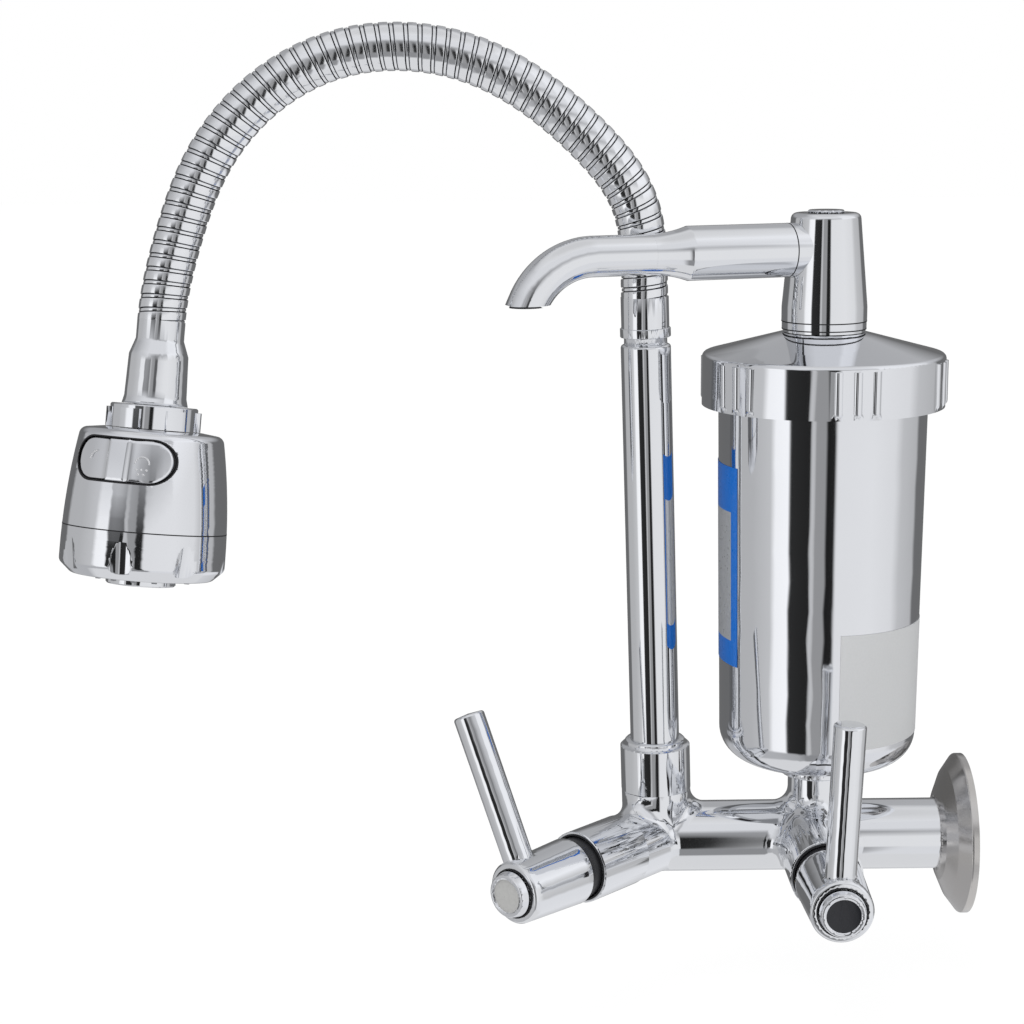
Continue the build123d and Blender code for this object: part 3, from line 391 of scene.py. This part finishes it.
def addSleeve():  # thick sleeve that runs out in a hollow curve on the thin spout
    run, step = spout["waist"] - spout["straight"], spout["thick"] - spout["thin"]
    outline = [(spout["thin"], spout["start"]), (spout["thick"], spout["start"])]
    for count in range(spout["steps"] + 1):
        share = count / spout["steps"]
        radius = spout["thin"] + spout["proud"] + step * (1 - share) ** 2
        outline.append((radius, spout["straight"] + run * share))
    outline.append((spout["thin"], spout["waist"]))
    piece = turnedPiece("spoutSleeve", spout, outline, "plated_metal", "drinking_spout")
    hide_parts("spout_sleeve")


addSleeve()
# painted shade in the gaps at the head's join, the spout, the swivel and the lever caps
addSeamShade("headSeamShade", head, headRadius(head["seam"]), head["seam"], "spray_head")
addSeamShade("spoutSeamShade", spout, spout["thick"], spout["start"], "drinking_spout")
for count, (radius, height) in enumerate(swivel["seams"]):
    addSeamShade(f"swivelSeamShade{count + 1}", swivel, radius, height, "drinking_spout")
for name, valve in valves.items():
    addSeamShade(f"{name}CapSeamShade", valve, lever["seamR"], lever["seam"], f"{name}_lever")

# walls whose long facets would bend the mirror, with their axis and the radii they lie between
roundWalls = [
    ("swivel_body", swivel, (10.5, 17)),
    ("swivel_body", spout, (7, 10.3)),
    ("swivel_ring", swivel, (10.5, 17)),
    ("cap_nipple", swivel, (8, 17)),
    ("head_collar", head, (8, 20)),
]
wallLimits = {"slope": 0.2, "facing": 0.9}


def trueRound(piece, axis, radii):  # corner normals straight out from the axis
    root, way = Vector(axis["root"]) * mm, Vector(axis["way"]).normalized()
    mesh = piece.data
    normals = [corner.vector.copy() for corner in mesh.corner_normals]
    for face in mesh.polygons:
        slope = face.normal.dot(way)
        out = face.center - root
        out = out - way * out.dot(way)
        facing = face.normal.dot(out.normalized())
        if abs(slope) > wallLimits["slope"] or facing < wallLimits["facing"]:
            continue
        if not radii[0] < out.length / mm < radii[1]:
            continue
        for k in face.loop_indices:
            ray = mesh.vertices[mesh.loops[k].vertex_index].co - root
            ray = (ray - way * ray.dot(way)).normalized()
            normals[k] = ray * math.sqrt(1 - slope * slope) + way * slope
    mesh.normals_split_custom_set(normals)


for node, axis, radii in roundWalls:
    trueRound(pieces[node], axis, radii)
print("sleeve and seams turned")


# rocker on the head: an oval slice of the barrel, hollowed for a finger each side of its middle

rocker = {
    "turn": 16.0, "tilt": 4.0,  # degrees
    "station": 49.7, "pivot": 19.2,
    "length": 36.5, "width": 14.5, "gap": 0.5, "proud": 0.4,
    "side": 3.0, "back": 17.5,  # depth of the wall, and how far out the flat back lies
    "corners": 64, "sideCuts": 22, "columns": (0.55, 31), "rows": (1.2, 5),
    "edge": 0.28, "edgeRun": 0.6,
    "ridges": (-3.4, 3.6), "hollow": 1.2, "shade": 0.75, "middle": 0.14,
    "rim": (0.28, 0.78), "rimLift": 0.03, "rimDeep": 1.2,
    "offMiddle": 0.1, "longEdge": 5,
    "wallFacing": 0.3, "backFacing": -0.5, "smooth": 50,
    # a face of the head belongs to the window's wall when it lies and faces within these
    "window": {"out": 10, "off": 0.06, "facing": 0.5},
}
marks = {
    "dot": 0.45, "flat": 0.6,
    "dots": [(-7.2, 2.8), (-8.9, 2.8), (-10.6, 2.8), (-8.0, 4.4), (-9.8, 4.4)],
    "arc": {"spot": (-8.9, 0.8), "radius": 2.5, "thick": 0.3, "turn": 180},
    "jet": {"spot": (8.6, 0.4), "radius": 3.0, "thick": 0.42, "turn": 90},
    "steps": 18, "smooth": 60,
}


def headFrame(turn, tilt=0.0):  # across the window, down the head, and out of it
    down = Vector(head["way"])
    front = (Vector((1, 0, 0)) - down * down.x).normalized()
    out = front * math.cos(math.radians(turn)) + down.cross(front) * math.sin(math.radians(turn))
    across = down.cross(out)
    leant = out * math.cos(math.radians(tilt)) + across * math.sin(math.radians(tilt))
    root = Vector(head["root"]) + (out - leant) * rocker["pivot"] + down * rocker["station"]
    return down.cross(leant), down, leant, root


def rockerHeight(x, y):
    low, high = rocker["ridges"]
    skin = math.sqrt((headRadius(rocker["station"] + y) + rocker["proud"]) ** 2 - x * x)
    if low < x < high:
        side = (x - (low + high) / 2) / (high - low) * 2
        return skin - rocker["middle"] * (1 - side * side)
    if x < low:
        past, room = low - x, rocker["length"] / 2 + low
    else:
        past, room = x - high, rocker["length"] / 2 - high
    return skin - rocker["hollow"] * (1 - math.exp(-past / rocker["shade"])) * max(1 - past / room, 0)


def placedBy(piece, columns):
    across, down, out, root = columns
    turn = Matrix((across, down, out)).transposed().to_4x4()
    piece.data.transform(Matrix.Translation(root * mm) @ turn)


def rockerHalves():  # half its width, and from its middle to the centre of a round end
    return rocker["width"] / 2, (rocker["length"] - rocker["width"]) / 2


def slotOutline(name, half, reach):  # an oval ring of edges round the origin
    nothingSelected()
    bpy.ops.mesh.primitive_circle_add(
        vertices=rocker["corners"], radius=half * mm, fill_type="NOTHING", location=(0, 0, 0)
    )
    piece = bpy.context.object
    piece.name = name
    for side in (-1, 1):
        bpy.ops.object.mode_set(mode="EDIT")
        bpy.ops.mesh.select_all(action="DESELECT")
        bpy.ops.object.mode_set(mode="OBJECT")
        for vertex in piece.data.vertices:
            vertex.select = vertex.co.x * side > rocker["offMiddle"] * mm
        bpy.ops.object.mode_set(mode="EDIT")
        bpy.ops.mesh.select_mode(type="VERT")
        bpy.ops.transform.translate(value=(side * reach * mm, 0, 0))
    bpy.ops.mesh.select_all(action="DESELECT")
    bpy.ops.object.mode_set(mode="OBJECT")
    for edge in piece.data.edges:  # the two long sides
        ends = [piece.data.vertices[k].co for k in edge.vertices]
        edge.select = (ends[0] - ends[1]).length > rocker["longEdge"] * mm
    bpy.ops.object.mode_set(mode="EDIT")
    bpy.ops.mesh.select_mode(type="EDGE")
    bpy.ops.mesh.subdivide(number_cuts=rocker["sideCuts"])
    bpy.ops.mesh.select_all(action="SELECT")
    return piece


def addRocker():
    half, reach = rockerHalves()
    piece = slotOutline("modeRocker", half, reach)
    bpy.ops.mesh.edge_face_add()
    for _ in range(2):
        bpy.ops.mesh.inset(thickness=rocker["edgeRun"] / 2 * mm)
    # a net of cuts lets the flat oval take the rocker's shape
    for axis, gap, cuts in (((1, 0, 0), *rocker["columns"]), ((0, 1, 0), *rocker["rows"])):
        for count in range(-cuts, cuts + 1):
            bpy.ops.mesh.select_all(action="SELECT")
            bpy.ops.mesh.bisect(plane_co=Vector(axis) * count * gap * mm, plane_no=axis)
    bpy.ops.object.mode_set(mode="OBJECT")
    for vertex in piece.data.vertices:
        x, y = vertex.co.x / mm, vertex.co.y / mm
        inward = half - math.hypot(max(abs(x) - reach, 0), y)
        lowered = rocker["edge"] * max(1 - inward / rocker["edgeRun"], 0) ** 2
        vertex.co.z = (rockerHeight(x, y) - lowered) * mm
    bpy.ops.object.mode_set(mode="EDIT")
    bpy.ops.mesh.select_mode(type="EDGE")
    bpy.ops.mesh.select_all(action="DESELECT")
    bpy.ops.mesh.select_non_manifold()
    wall = {"value": (0, 0, -rocker["side"] * mm)}
    bpy.ops.mesh.extrude_region_move(TRANSFORM_OT_translate=wall)
    bpy.ops.mesh.extrude_region_move(TRANSFORM_OT_translate=wall)
    bpy.ops.transform.resize(value=(1, 1, 0), center_override=(0, 0, rocker["back"] * mm))
    bpy.ops.mesh.edge_face_add()
    facedOut(merged=False)
    piece.data.materials.append(finishes["plated_plastic"])
    piece.data.materials.append(finishes["seam_shade"])
    for face in piece.data.polygons:  # the wall and the back are in shade
        if abs(face.normal.z) < rocker["wallFacing"] or face.normal.z < rocker["backFacing"]:
            face.material_index = 1
    placedBy(piece, headFrame(rocker["turn"], rocker["tilt"]))
    smoothed(piece, rocker["smooth"])
    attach(piece, "mode_rocker")
    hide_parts("mode_button")


def addRim():  # the shaded line round the rocker's window
    near, far = rocker["rim"]
    half, reach = rockerHalves()
    piece = slotOutline("rockerRim", half + near, reach)
    bpy.ops.mesh.extrude_edges_move()
    bpy.ops.object.mode_set(mode="OBJECT")
    for vertex in piece.data.vertices:
        if vertex.select:
            middle = Vector((max(-reach, min(reach, vertex.co.x / mm)), 0))
            out = Vector(vertex.co[:2]) / mm - middle
            wide = middle + out.normalized() * (half + far)
            vertex.co.x, vertex.co.y = wide * mm
    for vertex in piece.data.vertices:
        x, y = vertex.co.x / mm, vertex.co.y / mm
        skin = math.sqrt(headRadius(rocker["station"] + y) ** 2 - x * x)
        vertex.co.z = (skin + rocker["rimLift"]) * mm
    bpy.ops.object.mode_set(mode="EDIT")
    bpy.ops.mesh.select_all(action="SELECT")
    bpy.ops.mesh.extrude_region_move(TRANSFORM_OT_translate={"value": (0, 0, -rocker["rimDeep"] * mm)})
    facedOut(merged=False)
    placedBy(piece, headFrame(rocker["turn"]))
    smoothed(piece, rocker["smooth"])
    piece.data.materials.append(finishes["seam_shade"])
    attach(piece, "spray_head")


def rockerMark(name, spot, made):  # a raised mark that lies on the rocker's face
    x, y = spot
    step = 0.2
    slopeX = (rockerHeight(x + step, y) - rockerHeight(x - step, y)) / step / 2
    slopeY = (rockerHeight(x, y + step) - rockerHeight(x, y - step)) / step / 2
    up = Vector((-slopeX, -slopeY, 1)).normalized()
    side = (Vector((1, 0, 0)) - up * up.x).normalized()
    placedBy(made, (side, up.cross(side), up, Vector((x, y, rockerHeight(x, y)))))
    placedBy(made, headFrame(rocker["turn"], rocker["tilt"]))
    made.name = name
    smoothed(made, marks["smooth"])
    made.data.materials.append(finishes["frosted_mark"])
    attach(made, "mode_rocker")


def addMarks():  # five dots under an arc for the spray, a curl for the single jet
    for count, spot in enumerate(marks["dots"]):
        nothingSelected()
        bpy.ops.mesh.primitive_uv_sphere_add(
            segments=12, ring_count=8, radius=marks["dot"] * mm, location=(0, 0, 0)
        )
        dot = bpy.context.object
        bpy.ops.object.mode_set(mode="EDIT")
        bpy.ops.transform.resize(value=(1, 1, marks["flat"]))
        bpy.ops.object.mode_set(mode="OBJECT")
        rockerMark(f"sprayDot{count + 1}", spot, dot)
    for name in ("arc", "jet"):
        mark = marks[name]
        nothingSelected()
        bpy.ops.mesh.primitive_circle_add(
            vertices=10, radius=mark["thick"] * mm, fill_type="NGON",
            location=(mark["radius"] * mm, 0, 0), rotation=(math.pi / 2, 0, 0),
        )
        made = bpy.context.object
        bpy.ops.object.transform_apply(location=True, rotation=True, scale=True)
        bpy.ops.object.mode_set(mode="EDIT")
        bpy.ops.mesh.select_all(action="SELECT")
        angle = math.radians(mark["turn"])
        bpy.ops.mesh.spin(steps=marks["steps"], angle=angle, center=(0, 0, 0), axis=(0, 0, 1))
        facedOut()
        rockerMark(f"{name}Mark", mark["spot"], made)


def onWindowWall(spot, normal):
    across, down, out, _ = headFrame(rocker["turn"])
    left = spot - Vector(head["root"])
    x, y = left.dot(across), left.dot(down) - rocker["station"]
    half, reach = rockerHalves()
    outward = math.hypot(max(abs(x) - reach, 0), y) - half - rocker["gap"]
    limit = rocker["window"]
    if left.dot(out) <= limit["out"] or abs(outward) >= limit["off"]:
        return False
    return abs(normal.dot(out)) < limit["facing"]


addRocker()
addRim()
addMarks()
# painted shade on the wall of the rocker's window in the head
painted(pieces["head_shell"], "seam_shade", onWindowWall)
print("rocker set in the head")


# gooseneck hose: one start of wound strip, bent along its route

hose = {
    "pitch": 4.709,
    "turns": 60,
    # radius and share of the pitch over one rib: a wide flat crown, then a narrow bead between two seams
    "strip": [
        (7.5, 0.0), (8.12, 0.012), (8.42, 0.03), (8.5, 0.07), (8.52, 0.32), (8.5, 0.6), (8.42, 0.65),
        (8.12, 0.67), (7.6, 0.68), (7.6, 0.71), (8.05, 0.72), (8.18, 0.745), (8.22, 0.84),
        (8.18, 0.935), (8.05, 0.96), (7.6, 0.97), (7.5, 1.0),
    ],
    "grooveR": 7.9,  # what lies deeper is in shade
    "steps": 40,
    "cuts": (22.5, 37.5),  # in ribs from the riser, as are the pins
    "pins": (15, 30, 45), "blend": 3.5,  # ribs on each side of a pin at which two points of the route are read
    "route": [
        (1.07, -121.62, 204.42), (1.12, -121.95, 214.02), (1.24, -121.01, 237.66),
        (1.4, -141.2, 261.5), (1.57, -165.82, 282.16), (1.72, -193.8, 293.82),
        (1.9, -227.27, 294.12), (2.02, -256.0, 280.6), (3.9, -277.0, 257.6),
        (7.05, -287.6, 230.4), (10.29, -293.44, 208.37), (11.83, -294.43, 198.21),
    ],
    "fineness": 24, "smooth": 40,
}


def hoseRoute():
    curve = bpy.data.curves.new("hoseRoute", "CURVE")
    curve.dimensions = "3D"
    curve.twist_mode = "MINIMUM"
    spline = curve.splines.new("NURBS")
    spline.points.add(len(hose["route"]) - 1)
    for point, spot in zip(spline.points, hose["route"]):
        point.co = [v * mm for v in spot] + [1]
    spline.order_u = 4
    spline.use_endpoint_u = True
    spline.resolution_u = hose["fineness"]
    route = bpy.data.objects.new("hoseRoute", curve)
    bpy.context.collection.objects.link(route)
    return route


def woundTube():
    pitch = hose["pitch"] * mm
    spots = [Vector((r * mm, 0, share * pitch - pitch)) for r, share in hose["strip"]]
    tube = drawnLine("hoseTube", spots)
    bpy.ops.object.mode_set(mode="OBJECT")
    screw = tube.modifiers.new("winding", "SCREW")
    screw.screw_offset = pitch
    screw.iterations = hose["turns"] + 2  # a turn over at each end, cut off later
    screw.steps = screw.render_steps = hose["steps"]
    screw.use_smooth_shade = True
    bpy.ops.object.modifier_apply(modifier="winding")
    bpy.ops.object.mode_set(mode="EDIT")
    facedOut()
    tube.data.materials.append(finishes["hose_steel"])
    tube.data.materials.append(finishes["hose_groove_shade"])
    # painted shade on the faces down in the grooves between the ribs
    for face in tube.data.polygons:
        if Vector(face.center[:2]).length < hose["grooveR"] * mm:
            face.material_index = 1
    return tube


def routeSpots(route):
    line = bpy.data.meshes.new_from_object(route)
    spots = [v.co.copy() for v in line.vertices]
    bpy.data.meshes.remove(line)
    return spots


def routeLength(route):
    spots = routeSpots(route)
    return sum((after - before).length for before, after in zip(spots, spots[1:])) / mm


def routePoint(route, along):
    left = along * mm
    spots = routeSpots(route)
    for before, spot in zip(spots, spots[1:]):
        step = (spot - before).length
        if left <= step:
            return tuple(before.lerp(spot, left / step))
        left -= step
    return tuple(spots[-1])


def hoseStretch(tube, route, pin, name, low, high, nodes, bodies):  # cuts one stretch of the tube and bends it along the route
    piece = bpy.data.objects.new(name, tube.data.copy())
    bpy.context.collection.objects.link(piece)
    active(piece)
    bpy.ops.object.mode_set(mode="EDIT")
    for height, outward in ((low, -1), (high, 1)):
        bpy.ops.mesh.select_all(action="SELECT")
        bpy.ops.mesh.bisect(
            plane_co=(0, 0, height * mm), plane_no=(0, 0, outward), use_fill=True, clear_outer=True
        )
    bpy.ops.object.mode_set(mode="OBJECT")
    bend = piece.modifiers.new("bend", "CURVE")
    bend.object = route
    bend.deform_axis = "POS_Z"
    bpy.ops.object.modifier_apply(modifier="bend")
    smoothed(piece, hose["smooth"])
    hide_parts(*nodes)
    near, far = [routePoint(route, (pin + side * hose["blend"]) * hose["pitch"]) for side in (-1, 1)]
    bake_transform(piece)


def addHose():
    route = hoseRoute()
    tube = woundTube()
    length = routeLength(route)
    print(f"hose {length:.1f} mm long")
    first, second = [cut * hose["pitch"] for cut in hose["cuts"]]
    stretches = [
        ("hoseRise", 0, first, hoseNodes[:1], ("riser", "hose_middle")),
        ("hoseCrown", first, second, hoseNodes[1:2], ("hose_middle", "hose_fall")),
        ("hoseFall", second, length, hoseNodes[2:], ("hose_fall", "hose_end")),
    ]
    for pin, stretch in zip(hose["pins"], stretches):
        hoseStretch(tube, route, pin, *stretch)
    bpy.data.objects.remove(tube)
    bpy.data.objects.remove(route)


addHose()
print("hose wound")


# labels on the filter cup: bare ones, a blue and silver one and a plain white one

cup = {
    "axis": (0.0, -56.4),
    "foot": (36.2, 33.4),  # radius and height where the side starts, above the round of its corner
    "mouth": (38.1, 179.0),
}
labels = {
    "lift": 0.08, "thick": 0.1, "steps": 48,
    "badge": {
        "turn": (-125, -61), "height": (70.2, 144),
        "blue": (0.004, 0.165, 0.66, 1),
        "silver": ((0.55, 0.57, 0.60, 1), (0.69, 0.71, 0.74, 1)),
        # the silver field: its middle's turn and half its width in radians, its edges from the label's
        "fieldTurn": -0.052, "fieldHalf": 0.45, "below": 9.3, "above": 16.6,
        "grain": (700, 3), "rough": (0.22, 0.38), "metal": 0.5,
    },
    "paper": {
        "turn": (4, 85), "height": (43.5, 86.5),
        "white": ((0.68, 0.69, 0.70, 1), (0.74, 0.75, 0.76, 1)),
        "grain": (1400, 4), "rough": (0.42, 0.6), "dents": (0.08, 0.0001),
    },
}


def cupRadius(height):
    (lowR, low), (highR, high) = cup["foot"], cup["mouth"]
    return lowR + (highR - lowR) * (height - low) / (high - low)


def addLabel(name, label, material):
    low, high = label["height"]
    start, end = [math.radians(v) for v in label["turn"]]
    centre = Vector((cup["axis"][0] * mm, cup["axis"][1] * mm, 0))

    def spot(height):
        radius = (cupRadius(height) + labels["lift"]) * mm
        return centre + Vector((radius * math.cos(start), radius * math.sin(start), height * mm))

    piece = drawnLine(name, [spot(low), spot(high)])
    bpy.ops.mesh.select_all(action="SELECT")
    bpy.ops.mesh.spin(steps=labels["steps"], angle=start - end, center=centre, axis=(0, 0, 1))
    bpy.ops.object.mode_set(mode="OBJECT")
    face = piece.data.polygons[labels["steps"] // 2]
    out = Vector(face.center) - centre
    if face.normal.dot(Vector((out.x, out.y, 0))) < 0:
        piece.data.flip_normals()
    solid = piece.modifiers.new("paper", "SOLIDIFY")
    solid.thickness = labels["thick"] * mm
    solid.offset = 1
    bpy.ops.object.modifier_apply(modifier="paper")
    smoothed(piece)
    piece.data.materials.append(material)
    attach(piece, "tap_body")


def badgeFinish(badge):
    f = Finish("badgePrint")
    spot = f.place()
    x, y, z = f.split(spot)
    low, high = badge["height"]
    side = f.angle(x, -1 * (y - cup["axis"][1] * mm))
    inside = abs(side - badge["fieldTurn"]) < badge["fieldHalf"]
    inside = inside * (z > (low + badge["below"]) * mm) * (z < (high - badge["above"]) * mm)
    grain = f.noise(spot, *badge["grain"])
    f.feed("Base Color", f.mixed(inside, badge["blue"], f.mixed(grain, *badge["silver"])))
    f.feed("Roughness", f.spread(grain, *badge["rough"]))
    f.feed("Metallic", inside * badge["metal"])
    return f.material


def paperFinish(paper):
    f = Finish("stickerPaper")
    fibre = f.noise(f.place(), *paper["grain"])
    f.feed("Base Color", f.mixed(fibre, *paper["white"]))
    f.feed("Roughness", f.spread(fibre, *paper["rough"]))
    f.dents(fibre, *paper["dents"])
    return f.material


addLabel("badgeLabel", labels["badge"], badgeFinish(labels["badge"]))
addLabel("paperSticker", labels["paper"], paperFinish(labels["paper"]))
print("labels laid on the cup")


# studio: pale floor, white surround, and a lit room that only the metal mirrors

studio = {
    "floor": -60.0, "floorMiddle": (0, -0.15), "floorSize": 12,  # the last two in metres
    "floorWhite": 0.86, "floorGlow": 1.06, "glowShare": 0.88,
    "soft": 0.7,  # light of the surround on the object
    # degrees from the camera's side towards the wall, and how bright the room is there
    "room": [
        (-180, 0.15), (-128, 0.16), (-122, 0.5), (-90, 0.52), (-66, 0.62), (-60, 1.05), (-45, 1.1),
        (-42, 0.03), (-21, 0.02), (-19, 0.6), (-16, 0.6), (-14, 0.34), (-4, 0.34), (-2, 0.015),
        (6, 0.02), (9, 0.86), (50, 0.88), (80, 0.82), (92, 0.6), (118, 0.52), (124, 0.17), (180, 0.15),
    ],
    # the same below the belt of the eye's height, above it, and near the zenith
    "under": [
        (-180, 0.5), (-60, 0.5), (-28, 0.42), (-22, 0.3), (10, 0.3), (16, 0.8), (140, 0.85), (180, 0.55),
    ],
    "over": [
        (-180, 0.38), (-110, 0.44), (-70, 0.62), (-35, 0.74), (-27, 0.64), (-20, 0.48), (-9, 0.38),
        (-3, 0.3), (8, 0.36), (20, 0.5), (45, 0.58), (48, 1.0), (105, 0.98), (115, 0.6), (150, 0.5),
        (180, 0.44),
    ],
    "high": [
        (-180, 0.36), (-110, 0.44), (-70, 0.66), (-35, 0.8), (45, 0.8), (60, 0.95), (105, 0.9),
        (150, 0.5), (180, 0.42),
    ],
    # height of the mirrored ray from straight down, -1, to straight up, 1: how bright it is there,
    # and the shares of the bands above and of the belt round the room
    "sky": [(-1, 0.78), (-0.8, 0.78), (-0.74, 1), (0.82, 1), (0.96, 0.72), (1, 0.7)],
    "overShare": [(0, 0), (0.12, 1)],
    "highShare": [(0.4, 0), (0.56, 1)],
    "bandShare": [(-0.8, 0), (-0.74, 1), (0.8, 1), (0.94, 0)],
    "beltShare": [(-0.48, 0), (-0.38, 1), (0.14, 1), (0.38, 0)],
    "lamp": {"place": (500, -500, 1500), "aim": (0, -150, 120), "size": (1.0, 0.8), "power": 9},
}


def addFloor():
    spot = (*studio["floorMiddle"], studio["floor"] * mm)
    bpy.ops.mesh.primitive_plane_add(size=studio["floorSize"], location=spot)
    floor = bpy.context.object
    floor.name = "floor"
    floor.visible_glossy = False
    f = Finish("paleFloor", Base_Color=[studio["floorWhite"]] * 3 + [1], Roughness=0.9)
    share = f.node("ShaderNodeLightPath", out="Is Camera Ray") * studio["glowShare"]
    glow = f.node("ShaderNodeEmission", pins={"Strength": studio["floorGlow"]})
    pale = Val(f, f.shader.outputs[0])
    lit = f.node("ShaderNodeMixShader", pins={0: share, 1: pale, 2: glow})
    f.tree.links.new(lit.socket, f.tree.nodes["Material Output"].inputs[0])
    floor.data.materials.append(f.material)


def addWorld():
    world = bpy.context.scene.world or bpy.data.worlds.new("studio")
    bpy.context.scene.world = world
    world.use_nodes = True
    world.node_tree.nodes.clear()
    w = Nodes(world.node_tree)
    x, y, z = w.split(w.node("ShaderNodeTexCoord", out="Generated"))
    turn = w.angle(y, x) * (1 / math.tau) + 0.5
    rise = z * 0.5 + 0.5

    def around(name):
        return w.ramp(turn, [((degrees + 180) / 360, level) for degrees, level in studio[name]])

    def upDown(name):
        return w.ramp(rise, [((height + 1) / 2, level) for height, level in studio[name]])

    sides = w.mixed(upDown("overShare"), around("under"), around("over"))
    sides = w.mixed(upDown("highShare"), sides, around("high"))
    heaven = w.mixed(upDown("bandShare"), upDown("sky"), sides, "MULTIPLY")
    mirrored = w.mixed(upDown("beltShare"), heaven, around("room"))
    white = (1, 1, 1, 1)
    room = w.node("ShaderNodeBackground", pins={"Color": mirrored})
    soft = w.node("ShaderNodeBackground", pins={"Color": white, "Strength": studio["soft"]})
    plain = w.node("ShaderNodeBackground", pins={"Color": white})
    direct, glossy, through = [
        w.node("ShaderNodeLightPath", out=f"Is {ray} Ray") for ray in ("Camera", "Glossy", "Transmission")
    ]
    seen = w.node("ShaderNodeMath", {"operation": "MAXIMUM"}, {0: direct, 1: through})
    light = w.node("ShaderNodeMixShader", pins={0: glossy, 1: soft, 2: room})
    light = w.node("ShaderNodeMixShader", pins={0: seen, 1: light, 2: plain})
    w.node("ShaderNodeOutputWorld", pins={0: light})


def addLamp(name, place, aim, size, power):
    bpy.ops.object.light_add(type="AREA", location=[v * mm for v in place])
    lamp = bpy.context.object
    lamp.name = name
    lamp.data.shape = "RECTANGLE"
    lamp.data.size, lamp.data.size_y = size
    lamp.data.energy = power
    lamp.visible_glossy = False
    way = Vector([(a - b) * mm for a, b in zip(aim, place)])
    lamp.rotation_euler = way.to_track_quat("-Z", "Y").to_euler()


addFloor()
addWorld()
addLamp("topSoftbox", **studio["lamp"])
print("studio set")
